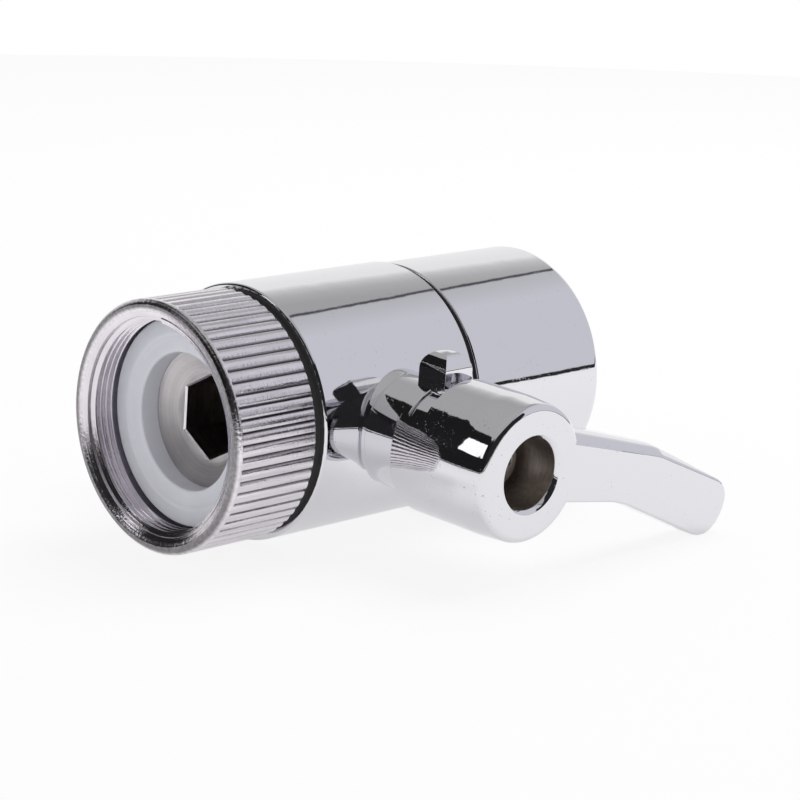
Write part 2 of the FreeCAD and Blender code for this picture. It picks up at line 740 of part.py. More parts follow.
def make_arm_envelope(rise):
    """The arm's widest outline with its corners rounded, as a plain slab."""
    slab = doc.addObject("PartDesign::Body", "arm_envelope")
    sketch = new_sketch(slab, "outline", "XZ_Plane", "hub_front - arm_root_thickness")
    arm_outline(sketch, rise)
    base = pad(slab, sketch, "arm_root_thickness")
    doc.recompute()
    for radius, reach in (("arm_tip_round", "arm_tip_reach"), ("arm_toe_round", "arm_toe_reach"),
                          ("arm_heel_round", "arm_heel_reach"), ("arm_kink_round", "arm_kink_reach")):
        upright = [
            f"Edge{index}" for index, edge in enumerate(base.Shape.Edges, start=1)
            if all(abs(vertex.X - number(reach)) < 0.01 for vertex in edge.Vertexes)
        ]
        fillet = slab.newObject("PartDesign::Fillet", f"arm_envelope_{radius}")
        fillet.Base = (base, upright)
        fillet.setExpression("Radius", bound(radius))
        doc.recompute()
        base = fillet
    return slab


# The screw head's round top: shares of its height, and of its radius there
HEAD_CURVE = ((0.5, 1), (0.85, 0.85), (1, 0.6))


def make_lever_screw():
    body = turned("lever_screw", "Y", [
        (f"{LOCK_FRONT} - screw_length", "0"),
        (f"{LOCK_FRONT} - screw_length", "screw_radius - screw_point_taper"),
        (f"{LOCK_FRONT} - screw_length + screw_point_length", "screw_radius"),
        (LOCK_FRONT, "screw_radius"),
        (LOCK_FRONT, "screw_head_radius"),
        *[
            (f"{LOCK_FRONT} + screw_head_length * {rise}", f"screw_head_radius * {share}")
            for rise, share in HEAD_CURVE
        ],
        (f"{LOCK_FRONT} + screw_head_length", "0"),
    ])
    sketch = new_sketch(body, "cross", "XZ_Plane", f"{LOCK_FRONT} + screw_head_length")
    near = "cross_width / 2"
    far = "cross_span / 2"
    draw_outline(sketch, [
        (far, near), (near, near), (near, far), (f"-{near}", far), (f"-{near}", near), (f"-{far}", near),
        (f"-{far}", f"-{near}"), (f"-{near}", f"-{near}"), (f"-{near}", f"-{far}"), (near, f"-{far}"),
        (near, f"-{near}"), (far, f"-{near}"),
    ])
    pocket(body, sketch, "cross_depth")


def make_lock_washer():
    body = ring("lock_washer", "Y", "hub_web_front", LOCK_FRONT, "screw_radius + running_gap", "lock_radius")
    sketch = new_sketch(body, "slit", "XZ_Plane", LOCK_FRONT)
    half = "lock_slit / 2"
    draw_outline(sketch, [
        (f"-{half}", "0"), (half, "0"),
        (half, f"lock_radius + {PAST}"), (f"-{half}", f"lock_radius + {PAST}"),
    ])
    pocket(body, sketch, "lock_thickness")


# Outlet end

def make_outlet_sleeve():
    turned("outlet_sleeve", "X", [
        (SLEEVE_START, "spigot_radius + free_gap"),
        (SLEEVE_START, "sleeve_radius - small_edge"),
        (f"{SLEEVE_START} + small_edge", "sleeve_radius"),
        (f"{SLEEVE_END} - sleeve_edge", "sleeve_radius"),
        (f"{SLEEVE_END} - sleeve_edge * {MID_EDGE}", f"sleeve_radius - sleeve_edge * {MID_EDGE}"),
        (SLEEVE_END, "sleeve_radius - sleeve_edge"),
        (SLEEVE_END, "sleeve_lip_radius"),
        (HOUSING_END, "sleeve_lip_radius"),
        (HOUSING_END, "sleeve_bore"),
        (f"{HOUSING_START} + housing_flange", "sleeve_bore"),
        (f"{HOUSING_START} + housing_flange", "spigot_radius + free_gap"),
    ])


def make_aerator():
    ring("aerator_gasket", "X", SPIGOT_END, HOUSING_START, "housing_shelf", "spigot_radius")
    turned("aerator_housing", "X", [
        (HOUSING_START, "housing_bore"),
        (HOUSING_START, "spigot_radius"),
        (f"{HOUSING_START} + housing_flange", "spigot_radius"),
        (f"{HOUSING_START} + housing_flange", "housing_radius"),
        (HOUSING_END, "housing_radius"),
        (HOUSING_END, "housing_bore"),
        (SCREEN_SHELF, "housing_bore"),
        (SCREEN_SHELF, "housing_shelf"),
        (DIFFUSER_SHELF, "housing_shelf"),
        (DIFFUSER_SHELF, "housing_bore"),
    ])
    make_dome_screen()
    make_diffuser()
    make_outlet_screen()


# The dome's curve: shares of its rise, and of its radius outside and inside
DOME_CURVE = ((0.85, 0.45, 0.43), (0.45, 0.8, 0.78))


def make_dome_screen():
    rim_front = f"({DIFFUSER_SHELF} - diffuser_thickness - dome_thickness)"
    inside = [
        (f"{rim_front} - dome_rise * {rise} + dome_thickness", f"dome_radius * {share}")
        for rise, _, share in reversed(DOME_CURVE)
    ]
    turned("aerator_dome_screen", "X", [
        (f"{rim_front} - dome_rise", "0"),
        *[(f"{rim_front} - dome_rise * {rise}", f"dome_radius * {share}") for rise, share, _ in DOME_CURVE],
        (rim_front, "dome_radius"),
        (rim_front, "screen_radius"),
        (f"{rim_front} + dome_thickness", "screen_radius"),
        (f"{rim_front} + dome_thickness", "dome_radius - dome_thickness * 2 / 5"),
        *inside,
        (f"{rim_front} - dome_rise + dome_thickness", "0"),
    ])


def make_diffuser():
    start = f"({DIFFUSER_SHELF} - diffuser_thickness)"
    body = turned("aerator_diffuser", "X", [
        (start, "0"), (start, "screen_radius"),
        (DIFFUSER_SHELF, "screen_radius"), (DIFFUSER_SHELF, "0"),
    ])
    sketch = new_sketch(body, "jet", "YZ_Plane", DIFFUSER_SHELF)
    draw_circle(sketch, ("0", "housing_shelf * diffuser_ring_share"), "diffuser_hole")
    jet = pocket(body, sketch, "diffuser_thickness")
    repeat_around_x(body, jet, "diffuser_holes")


def make_outlet_screen():
    """A round screen crossed by bars."""
    body = ring("aerator_outlet_screen", "X", SCREEN_SHELF, HOUSING_END, 
                "housing_shelf - outlet_screen_rim", "screen_radius")
    length = "(housing_shelf - outlet_screen_rim / 2)"
    gap = f"({length} * 2 / (outlet_screen_bars + 1))"
    for index in range(int(number("outlet_screen_bars"))):
        middle = f"({gap} * {index + 1} - {length})"
        reach = f"sqrt({length} * {length} - {middle} * {middle})"
        for name, swap in ((f"bar_{index}", False), (f"cross_bar_{index}", True)):
            sketch = new_sketch(body, name, "YZ_Plane", SCREEN_SHELF)
            low = f"{middle} - outlet_screen_bar / 2"
            high = f"{middle} + outlet_screen_bar / 2"
            corners = [(f"-{reach}", low), (reach, low), (reach, high), (f"-{reach}", high)]
            draw_outline(sketch, [(y, x) for x, y in corners] if swap else corners)
            pad(body, sketch, "outlet_screen_thickness")


make_valve_body()
make_swivel_nut()
make_inlet_stud()
make_inlet_washer()
ring("swivel_ring", "X", f"-{NUT_BACK}", "-body_front", "stud_radius + free_gap", "ring_radius")
ring("stud_gasket", "X", f"-{STUD_END}", f"-{SOCKET_BOTTOM}", "gasket_bore", "stud_radius")
make_rotor_plug()
make_seal_ring("rotor_o_ring_rear", "-seal_rear")
make_seal_ring("rotor_o_ring_middle", "seal_middle")
make_seal_ring("rotor_o_ring_front", "seal_front")
make_outlet_seat()
ring("rotor_washer", "Y", "rotor_shoulder", THRUST_FRONT, "stem_radius + running_gap", "rotor_radius")
make_retaining_ring()
make_lever_handle()
make_lever_screw()
make_lock_washer()
ring("outlet_o_ring", "X", "body_back", SLEEVE_START, "spigot_radius", "seam_ring_radius")
make_outlet_sleeve()
make_aerator()
doc.recompute()

for item in doc.Objects:
    if "Invalid" in item.State or "Error" in item.State:
        raise RuntimeError(f"{item.Name} failed: {item.State}")
for node in NODES:
    if node.Shape.isNull() or not node.Shape.isValid() or len(node.Shape.Solids) != 1:
        raise RuntimeError(f"{node.Label} is not one sound solid")

os.makedirs("parts", exist_ok=True)
for node in NODES:
    node.Shape.exportStep(f"parts/{node.Label}.step")
    print(node.Label, round(node.Shape.Volume, 2))
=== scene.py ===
import math

import bpy
from mathutils import Matrix, Vector


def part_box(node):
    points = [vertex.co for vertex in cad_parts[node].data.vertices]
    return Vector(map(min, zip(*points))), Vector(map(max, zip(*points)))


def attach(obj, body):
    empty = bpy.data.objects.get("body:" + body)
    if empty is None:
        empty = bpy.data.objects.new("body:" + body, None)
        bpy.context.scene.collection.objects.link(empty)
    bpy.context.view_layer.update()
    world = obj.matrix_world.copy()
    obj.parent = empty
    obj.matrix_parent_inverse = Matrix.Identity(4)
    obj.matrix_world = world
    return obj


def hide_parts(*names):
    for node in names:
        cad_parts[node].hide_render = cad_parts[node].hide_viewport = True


bl_info = {
    "name": "Faucet Diverter Valve",
    "version": (1, 0, 0),
    "blender": (4, 5, 0),
    "location": "View3D > Sidebar > Diverter Valve",
    "description": "Dresses a faucet diverter valve: plated body, knurled nut, lever and sleeve",
    "category": "Object",
}

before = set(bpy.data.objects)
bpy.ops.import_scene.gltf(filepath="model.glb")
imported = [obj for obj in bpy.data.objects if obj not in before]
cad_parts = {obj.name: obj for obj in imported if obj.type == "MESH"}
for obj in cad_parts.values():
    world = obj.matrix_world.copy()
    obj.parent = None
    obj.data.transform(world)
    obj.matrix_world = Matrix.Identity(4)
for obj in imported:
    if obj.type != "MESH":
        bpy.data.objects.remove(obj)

# Outlines are in millimetres about the crossing of the water axis and the rotor's axis.
# "Along" runs towards the outlet on the water axis, and towards the lever on the rotor's axis.
MM = 0.001
MERGE = 1e-6
NEAR = MM / 100
PLUG_LOW, PLUG_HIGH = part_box("rotor_plug")
CROSSING = (PLUG_LOW.x + PLUG_HIGH.x) / 2
AXES = {"X": (1, 0, 0), "Y": (0, 1, 0)}

# Facets in a rounded corner of an outline
CORNER_FACETS = 5

# A thread's ridge has half widths that are shares of its pitch, and steps in each turn.
RIDGE_FOOT = 0.42
RIDGE_CREST = 0.07
RIDGE_STEPS = 120


class ValveSizes(bpy.types.PropertyGroup):
    turn_steps: bpy.props.IntProperty(
        name="Turning steps", description="Facets round a turned piece",
        default=160, min=32, max=360)
    knurl_ridges: bpy.props.IntProperty(
        name="Knurl ridges", description="Ridges round the swivel nut",
        default=64, min=16, max=120)
    knurl_depth: bpy.props.FloatProperty(
        name="Knurl depth", description="Depth of the grooves between the ridges",
        default=0.40 * MM, subtype="DISTANCE", unit="LENGTH")
    thread_pitch: bpy.props.FloatProperty(
        name="Thread pitch", description="Pitch of the thread in the nut",
        default=0.74 * MM, subtype="DISTANCE", unit="LENGTH")
    side_pitch: bpy.props.FloatProperty(
        name="Side thread pitch", description="Pitch of the thread on the side outlet",
        default=1.0 * MM, subtype="DISTANCE", unit="LENGTH")


class ValveFinishes(bpy.types.PropertyGroup):
    chrome: bpy.props.FloatVectorProperty(
        name="Polished plating", description="Colour of the body, sleeve and lever",
        default=(0.80, 0.795, 0.825), subtype="COLOR", min=0, max=1)
    nut_plating: bpy.props.FloatVectorProperty(
        name="Nut plating", description="Duller colour of the swivel nut",
        default=(0.88, 0.84, 0.88), subtype="COLOR", min=0, max=1)
    stud: bpy.props.FloatVectorProperty(
        name="Stud", description="Satin metal of the hollow stud",
        default=(0.76, 0.73, 0.735), subtype="COLOR", min=0, max=1)
    casting: bpy.props.FloatVectorProperty(
        name="Bare casting", description="Unplated metal inside bores",
        default=(0.62, 0.55, 0.50), subtype="COLOR", min=0, max=1)
    washer: bpy.props.FloatVectorProperty(
        name="Washer", description="Milky plastic of the inlet washer",
        default=(0.83, 0.84, 0.90), subtype="COLOR", min=0, max=1)
    rubber: bpy.props.FloatVectorProperty(
        name="Rubber", description="Black rubber of rings and gaskets",
        default=(0.010, 0.010, 0.011), subtype="COLOR", min=0, max=1)
    brass: bpy.props.FloatVectorProperty(
        name="Brass", description="Metal of the rotor plug",
        default=(0.62, 0.46, 0.22), subtype="COLOR", min=0, max=1)
    slide: bpy.props.FloatVectorProperty(
        name="Slide plastic", description="Plastic of the thrust washer",
        default=(0.72, 0.70, 0.62), subtype="COLOR", min=0, max=1)
    grey_plastic: bpy.props.FloatVectorProperty(
        name="Grey plastic", description="Plastic of the aerator",
        default=(0.30, 0.31, 0.32), subtype="COLOR", min=0, max=1)
    steel: bpy.props.FloatVectorProperty(
        name="Steel", description="Screw, washer, retaining ring and screen",
        default=(0.74, 0.74, 0.73), subtype="COLOR", min=0, max=1)


class ValveStudio(bpy.types.PropertyGroup):
    eye: bpy.props.FloatVectorProperty(
        name="Camera place", description="Where the camera stands",
        default=(-0.167215, -0.198996, 0.076930), subtype="TRANSLATION", unit="LENGTH")
    aim: bpy.props.FloatVectorProperty(
        name="Camera turn", description="How the camera is turned",
        default=(math.radians(74.348), math.radians(-4.100), math.radians(-44.265)),
        subtype="EULER")
    lens: bpy.props.FloatProperty(
        name="Lens", description="Focal length in millimetres on a 36 mm sensor",
        default=112.5, min=10)
    floor: bpy.props.FloatVectorProperty(
        name="Floor", description="Colour of the floor",
        default=(0.92, 0.92, 0.93), subtype="COLOR", min=0, max=1)
    tilt: bpy.props.FloatProperty(
        name="Floor tilt",
        description="The valve lies rolled on its body and lever, so the floor tilts under it",
        default=math.radians(3.9), subtype="ANGLE", unit="ROTATION")
    floor_drop: bpy.props.FloatProperty(
        name="Floor drop", description="From the water axis down to the floor",
        default=14.42 * MM, subtype="DISTANCE", unit="LENGTH")


# Modelling steps

def rest():
    """Leave edit mode with nothing selected."""
    if bpy.context.object and bpy.context.object.mode != "OBJECT":
        bpy.ops.object.mode_set(mode="OBJECT")
    bpy.ops.object.select_all(action="DESELECT")


def work_on(piece):
    rest()
    piece.select_set(True)
    bpy.context.view_layer.objects.active = piece


def pick(piece, test):
    """Select in edit mode the vertices that pass a test on their place."""
    bpy.ops.object.mode_set(mode="EDIT")
    bpy.ops.mesh.select_all(action="DESELECT")
    bpy.ops.object.mode_set(mode="OBJECT")
    for vertex in piece.data.vertices:
        vertex.select = test(vertex.co)
    bpy.ops.object.mode_set(mode="EDIT")


def draw_wire(name, places, closed, rounds):
    """A wire through places, each drawn out from the last, with some corners rounded."""
    rest()
    bpy.ops.mesh.primitive_plane_add(size=MM, location=places[0])
    piece = bpy.context.object
    piece.name = name
    bpy.ops.object.transform_apply(location=True, rotation=False, scale=False)
    bpy.ops.object.mode_set(mode="EDIT")
    bpy.ops.mesh.merge(type="CENTER")
    trail = places[1:] + places[:1] if closed else places[1:]
    for start, end in zip(places, trail):
        bpy.ops.mesh.extrude_vertices_move(TRANSFORM_OT_translate={"value": end - start})
    bpy.ops.mesh.select_all(action="SELECT")
    bpy.ops.mesh.remove_doubles(threshold=MERGE)
    for size in sorted(set(rounds) - {0}):
        corners = [place for place, corner in zip(places, rounds) if corner == size]
        pick(piece, lambda co: any((co - corner).length < NEAR for corner in corners))
        bpy.ops.mesh.bevel(offset=size * MM, segments=CORNER_FACETS, affect="VERTICES")
    bpy.ops.mesh.select_all(action="SELECT")
    return piece


def lay_out(outline, about, middle):
    """Places above one of the valve's axes, from an outline of (along, radius)."""
    if about == "X":
        return [Vector((middle + along * MM, 0, radius * MM)) for along, radius, *_ in outline]
    return [Vector((middle, -along * MM, radius * MM)) for along, radius, *_ in outline]


def roundings(outline):
    """The rounding of each corner that names one, and nought for the others."""
    return [corner[2] if len(corner) > 2 else 0 for corner in outline]


def turn(name, outline, about="X", closed=True, steps=0):
    """Turn an outline of (along, radius) or (along, radius, rounding) round an axis."""
    piece = draw_wire(name, lay_out(outline, about, CROSSING), closed, roundings(outline))
    bpy.ops.mesh.spin(
        steps=steps or bpy.context.scene.valve_sizes.turn_steps, angle=math.tau,
        center=(CROSSING, 0, 0), axis=AXES[about])
    close_skin()
    return piece


def close_skin():
    bpy.ops.mesh.select_all(action="SELECT")
    bpy.ops.mesh.remove_doubles(threshold=MERGE)
    bpy.ops.mesh.normals_make_consistent(inside=False)
    bpy.ops.object.mode_set(mode="OBJECT")


def lay_face(name, corners, along):
    """A flat face across the rotor's axis, from (reach, rise) or (reach, rise, rounding)."""
    places = [
        Vector((CROSSING + reach * MM, -along * MM, rise * MM)) for reach, rise, *_ in corners]
    piece = draw_wire(name, places, True, roundings(corners))
    bpy.ops.mesh.edge_face_add()
    return piece


def draw_back(depth):
    """Draw the selected face back from the lever's side."""
    bpy.ops.mesh.extrude_region_move(TRANSFORM_OT_translate={"value": (0, depth * MM, 0)})


def join_shapes(piece, tool, operation="UNION"):
    """Join a shape to a piece, or cut it away, and take the shape out."""
    work_on(piece)
    step = piece.modifiers.new(operation.title(), "BOOLEAN")
    step.operation = operation
    step.object = tool
    step.solver = "EXACT"
    step.material_mode = "TRANSFER"
    bpy.ops.object.modifier_apply(modifier=step.name)
    bpy.data.objects.remove(tool)


def soften(piece, width, angle=30, segments=3):
    """Round the edges that are sharper than an angle."""
    work_on(piece)
    step = piece.modifiers.new("Soft edges", "BEVEL")
    step.width = width * MM
    step.segments = segments
    step.limit_method = "ANGLE"
    step.angle_limit = math.radians(angle)
    bpy.ops.object.modifier_apply(modifier=step.name)


def polish(piece, angle=32):
    """Smooth shading that stays crisp at sharp edges and flat on flat faces."""
    work_on(piece)
    bpy.ops.object.shade_smooth_by_angle(angle=math.radians(angle))
    step = piece.modifiers.new("Even normals", "WEIGHTED_NORMAL")
    step.keep_sharp = True
    bpy.ops.object.modifier_apply(modifier=step.name)


def wind_ridge(name, start, length, pitch, foot, crest, about):
    """A thread's ridge, wound round an axis from its start."""
    half_foot = pitch * RIDGE_FOOT
    half_crest = pitch * RIDGE_CREST
    section = [
        (start - half_foot, foot), (start - half_crest, crest),
        (start + half_crest, crest), (start + half_foot, foot)]
    piece = draw_wire(name, lay_out(section, about, 0), True, roundings(section))
    bpy.ops.object.mode_set(mode="OBJECT")
    turns = length / pitch
    step = piece.modifiers.new("Winding", "SCREW")
    step.axis = about
    step.angle = math.tau * turns
    step.screw_offset = length * MM * (1 if about == "X" else -1)
    step.steps = step.render_steps = int(RIDGE_STEPS * turns)
    bpy.ops.object.modifier_apply(modifier=step.name)
    bpy.ops.object.mode_set(mode="EDIT")
    bpy.ops.mesh.select_all(action="SELECT")
    bpy.ops.mesh.fill_holes(sides=0)
    close_skin()
    piece.location = (CROSSING, 0, 0)
    bpy.ops.object.transform_apply(location=True, rotation=False, scale=False)
    return piece


def block(name, low, high):
    """A block between two corners, in millimetres about the crossing."""
    rest()
    middle = (Vector(low) + Vector(high)) / 2 * MM + Vector((CROSSING, 0, 0))
    bpy.ops.mesh.primitive_cube_add(size=1, location=middle)
    piece = bpy.context.object
    piece.name = name
    piece.scale = (Vector(high) - Vector(low)) * MM
    bpy.ops.object.transform_apply(location=True, rotation=False, scale=True)
    return piece


def rod(name, radius, start, end, shift=0.0, sides=64, turned=0.0, flare=0.0):
    """A rod or prism along the water axis, shifted towards the lever, its start flared."""
    rest()
    bpy.ops.mesh.primitive_cone_add(
        vertices=sides, radius1=(radius + flare) * MM, radius2=radius * MM,
        depth=(end - start) * MM, rotation=(0, math.pi / 2, 0),
        location=(CROSSING + (start + end) / 2 * MM, -shift * MM, 0))
    piece = bpy.context.object
    piece.name = name
    bpy.ops.object.transform_apply(location=True, rotation=True, scale=False)
    if turned:
        bpy.ops.object.mode_set(mode="EDIT")
        bpy.ops.mesh.select_all(action="SELECT")
        bpy.ops.transform.rotate(value=turned, orient_axis="X", center_override=(CROSSING, 0, 0))
        bpy.ops.object.mode_set(mode="OBJECT")
    return piece


def dress(piece, *materials):
    for material in materials:
        piece.data.materials.append(material)
    return piece


def fit(piece, body, node):
    """The piece stands for a node, which it hides, and moves with a body."""
    rest()
    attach(piece, body)
    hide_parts(node)


# Finishes

# How far the bumps of each finish stand out, in metres
CHROME_BUMP = 0.00006
NUT_BUMP = 0.00005
SATIN_BUMP = 0.00003
PLASTIC_BUMP = 0.00002
MILKY_BUMP = 0.00001

# Share of the bare casting's colour that the stud's hexagon socket keeps: its walls are darkened as
# painted shade inside the recess
SOCKET_SHADE = 0.34

def group_of(name, inputs, outputs):
    """An empty node group with named sockets, and its two end nodes."""
    group = bpy.data.node_groups.new(name, "ShaderNodeTree")
    for label, default in inputs:
        socket = group.interface.new_socket(label, in_out="INPUT", socket_type="NodeSocketFloat")
        socket.default_value = default
    for label in outputs:
        group.interface.new_socket(label, in_out="OUTPUT", socket_type="NodeSocketFloat")
    return group, group.nodes.new("NodeGroupInput"), group.nodes.new("NodeGroupOutput")


def add_node(tree, kind, **settings):
    """A shader node with its settings."""
    node = tree.nodes.new("ShaderNode" + kind)
    for key, value in settings.items():
        setattr(node, key, value)
    return node


def socket_of(node, key):
    """A node's input by its place, as i0, or by its name, with underscores for spaces."""
    if key[0] == "i" and key[1:].isdigit():
        return node.inputs[int(key[1:])]
    return node.inputs[key.replace("_", " ")]


def feed(tree, node, **inputs):
    """Set a node's inputs, or link them to another node's output."""
    for key, value in inputs.items():
        socket = socket_of(node, key)
        if isinstance(value, bpy.types.NodeSocket):
            tree.links.new(value, socket)
        else:
            socket.default_value = value
    return node


def maths(tree, operation, first, second=0.0, clamp=False):
    node = add_node(tree, "Math", operation=operation, use_clamp=clamp)
    feed(tree, node, i0=first, i1=second)
    return node.outputs[0]


def noise(tree, vector, scale, detail=3.0, roughness=0.5):
    node = add_node(tree, "TexNoise")
    feed(tree, node, Vector=vector, Scale=scale, Detail=detail, Roughness=roughness)
    return node.outputs["Fac"]


def span(tree, value, low, high, start=0.0, end=1.0):
    """Map a value from one span to another, held at both ends."""
    node = add_node(tree, "MapRange")
    feed(tree, node, Value=value, From_Min=low, From_Max=high, To_Min=start, To_Max=end)
    return node.outputs[0]


def weigh(tree, *parts):
    """The sum of values, each times its own share."""
    total = None
    for value, share in parts:
        part = maths(tree, "MULTIPLY", value, share)
        total = part if total is None else maths(tree, "ADD", total, part)
    return total


def make_plating_group():
    """Slow waves of a plated casting, fine pits and light rubbing marks."""
    group, given, out = group_of(
        "Plated casting", [("Waves", 1.0), ("Pits", 1.0), ("Rubbing", 1.0)],
        ["Height", "Dullness", "Pit mask"])
    place = add_node(group, "TexCoord").outputs["Object"]
    waves = noise(group, place, scale=170.0, detail=2.0)
    ripple = noise(group, place, scale=900.0, detail=2.0)
    spots = noise(group, place, scale=3800.0, detail=1.0)
    patches = noise(group, place, scale=260.0)
    pits = maths(
        group, "MULTIPLY", span(group, spots, 0.70, 0.76), span(group, patches, 0.48, 0.62))
    pits = maths(group, "MULTIPLY", pits, given.outputs["Pits"])
    stretch = add_node(group, "Mapping")
    feed(group, stretch, Vector=place, Scale=(300.0, 4200.0, 900.0), Rotation=(0.35, 0.2, 0.5))
    marks = span(group, noise(group, stretch.outputs[0], scale=1.0, detail=2.0), 0.66, 0.78)
    marks = maths(group, "MULTIPLY", marks, given.outputs["Rubbing"])
    height = weigh(group, (waves, 1.0), (ripple, 0.10))
    height = maths(group, "MULTIPLY", height, given.outputs["Waves"])
    height = weigh(group, (height, 1.0), (pits, -0.25), (marks, -0.02))
    dullness = weigh(group, (pits, 0.35), (marks, 0.12), (patches, 0.03))
    for label, value in (("Height", height), ("Dullness", dullness), ("Pit mask", pits)):
        group.links.new(value, out.inputs[label])
    return group


def water_radius(tree, parts):
    """The distance from the water axis, from a place that is split into its parts."""
    flat = add_node(tree, "CombineXYZ")
    feed(tree, flat, Y=parts.outputs["Y"], Z=parts.outputs["Z"])
    radius = add_node(tree, "VectorMath", operation="LENGTH")
    feed(tree, radius, i0=flat.outputs[0])
    return radius.outputs["Value"]


def make_turning_group():
    """Rings left by the lathe, by distance from the water axis, with grain."""
    group, given, out = group_of(
        "Lathe marks", [("Ring spacing", 5000.0), ("Grain", 1.0)], ["Height", "Tone"])
    place = add_node(group, "TexCoord").outputs["Object"]
    parts = add_node(group, "SeparateXYZ")
    feed(group, parts, Vector=place)
    spacing = given.outputs["Ring spacing"]
    line = add_node(group, "CombineXYZ")
    feed(group, line, X=maths(group, "MULTIPLY", water_radius(group, parts), spacing),
         Y=maths(group, "MULTIPLY", parts.outputs["X"], spacing))
    rings = noise(group, line.outputs[0], scale=1.0, detail=2.0)
    grain = noise(group, place, scale=2600.0, detail=4.0, roughness=0.6)
    patches = noise(group, place, scale=320.0)
    grain = maths(group, "MULTIPLY", grain, given.outputs["Grain"])
    group.links.new(maths(group, "ADD", rings, grain), out.inputs["Height"])
    group.links.new(weigh(group, (rings, 0.5), (patches, 0.5)), out.inputs["Tone"])
    return group


def make_moulding_group():
    """Fine grain and cloudy patches of a moulded plastic or rubber."""
    group, given, out = group_of("Moulded grain", [("Grain scale", 3000.0)], ["Height", "Cloud"])
    place = add_node(group, "TexCoord").outputs["Object"]
    grain = noise(group, place, scale=given.outputs["Grain scale"])
    group.links.new(grain, out.inputs["Height"])
    group.links.new(noise(group, place, scale=240.0), out.inputs["Cloud"])
    return group


def place_group(tree, group, **values):
    node = tree.nodes.new("ShaderNodeGroup")
    node.node_tree = group
    return feed(tree, node, **values)


def new_finish(name, **sockets):
    """The node tree and shader of a new material, with numbers set on the shader's sockets."""
    material = bpy.data.materials.new(name)
    material.use_nodes = True
    tree = material.node_tree
    shader = tree.nodes["Principled BSDF"]
    feed(tree, shader, **sockets)
    return tree, shader


def shade_of(colour, share):
    """A share of a colour, as a socket takes it."""
    return [channel * share for channel in colour] + [1.0]


def blend_colours(tree, share, first, second):
    node = add_node(tree, "Mix", data_type="RGBA")
    tree.links.new(share, node.inputs[0])
    node.inputs[6].default_value = first
    node.inputs[7].default_value = second
    return node.outputs[2]


def raise_surface(tree, shader, height, distance):
    bump = add_node(tree, "Bump")
    feed(tree, bump, Height=height, Distance=distance, Strength=1.0)
    tree.links.new(bump.outputs[0], shader.inputs["Normal"])


def make_chrome(name, colour, plating, roughness, waves, pits):
    """Bright plating on a casting, darker and duller in its pits."""
    tree, shader = new_finish(name, Metallic=1.0)
    skin = place_group(tree, plating, Waves=waves, Pits=pits, Rubbing=1.0)
    tone = blend_colours(
        tree, skin.outputs["Pit mask"], shade_of(colour, 1.0), shade_of(colour, 0.55))
    tree.links.new(tone, shader.inputs["Base Color"])
    rough = maths(tree, "ADD", skin.outputs["Dullness"], roughness)
    tree.links.new(rough, shader.inputs["Roughness"])
    raise_surface(tree, shader, skin.outputs["Height"], CHROME_BUMP)


def make_nut_plating(colour, plating, turning):
    """Duller plating whose grooves are darkened as painted shade, leaving the ridge tops bright,
    with darker streaks along the ridges.
    """
    tree, shader = new_finish("nut_plating", Metallic=1.0)
    place = add_node(tree, "TexCoord").outputs["Object"]
    parts = add_node(tree, "SeparateXYZ")
    feed(tree, parts, Vector=place)
    radius = water_radius(tree, parts)
    # Painted shade: the colour darkens in the grooves between the ridges, found by distance from
    # the water axis; the bore is left out.
    ridge = span(tree, radius, 13.60 * MM, 13.88 * MM)
    outside = span(tree, radius, 12.8 * MM, 13.1 * MM)
    groove = maths(tree, "MULTIPLY", maths(tree, "SUBTRACT", 1.0, ridge), outside)
    streaked = add_node(tree, "Mapping")
    feed(tree, streaked, Vector=place, Scale=(120.0, 2600.0, 2600.0))
    streaks = noise(tree, streaked.outputs[0], scale=1.0)
    skin = place_group(tree, plating, Waves=0.5, Pits=1.6, Rubbing=2.0)
    marks = place_group(tree, turning, Ring_spacing=4200.0, Grain=0.8)
    # The streaks darken the colour a little more along the ridges.
    streak_darkening = span(tree, streaks, 0.40, 0.75, 0.0, 0.25)
    share = maths(tree, "ADD", maths(tree, "MULTIPLY", groove, 0.9), streak_darkening, clamp=True)
    tone = blend_colours(tree, share, shade_of(colour, 1.0), shade_of(colour, 0.30))
    tree.links.new(tone, shader.inputs["Base Color"])
    dull = maths(tree, "ADD", skin.outputs["Dullness"], 0.09)
    rough = weigh(tree, (streaks, 0.20), (dull, 1.0))
    tree.links.new(rough, shader.inputs["Roughness"])
    height = weigh(
        tree, (marks.outputs["Height"], 0.5), (streaks, 1.0), (skin.outputs["Height"], 1.0))
    raise_surface(tree, shader, height, NUT_BUMP)


def make_satin_metal(name, colour, turning, roughness, spacing, patch_shade):
    """Turned metal with rings from the lathe, and patches that keep a share of its colour."""
    tree, shader = new_finish(name, Metallic=1.0)
    marks = place_group(tree, turning, Ring_spacing=spacing, Grain=0.7)
    patches = span(tree, marks.outputs["Tone"], 0.35, 0.65)
    tone = blend_colours(tree, patches, shade_of(colour, 1.0), shade_of(colour, patch_shade))
    tree.links.new(tone, shader.inputs["Base Color"])
    rough = span(tree, marks.outputs["Tone"], 0.3, 0.7, roughness, roughness + 0.14)
    tree.links.new(rough, shader.inputs["Roughness"])
    raise_surface(tree, shader, marks.outputs["Height"], SATIN_BUMP)


def make_plastic(
        name, colour, moulding, roughness, grain=3000.0, patch_shade=0.85, bump=PLASTIC_BUMP,
        **sockets):
    """Moulded plastic or rubber with fine grain, and clouds that keep a share of its colour."""
    tree, shader = new_finish(name, **sockets)
    skin = place_group(tree, moulding, Grain_scale=grain)
    clouds = span(tree, skin.outputs["Cloud"], 0.35, 0.65)
    tone = blend_colours(tree, clouds, shade_of(colour, 1.0), shade_of(colour, patch_shade))
    tree.links.new(tone, shader.inputs["Base Color"])
    rough = span(tree, skin.outputs["Height"], 0.3, 0.7, roughness, roughness + 0.12)
    tree.links.new(rough, shader.inputs["Roughness"])
    raise_surface(tree, shader, skin.outputs["Height"], bump)


def finish(name):
    return bpy.data.materials[name]


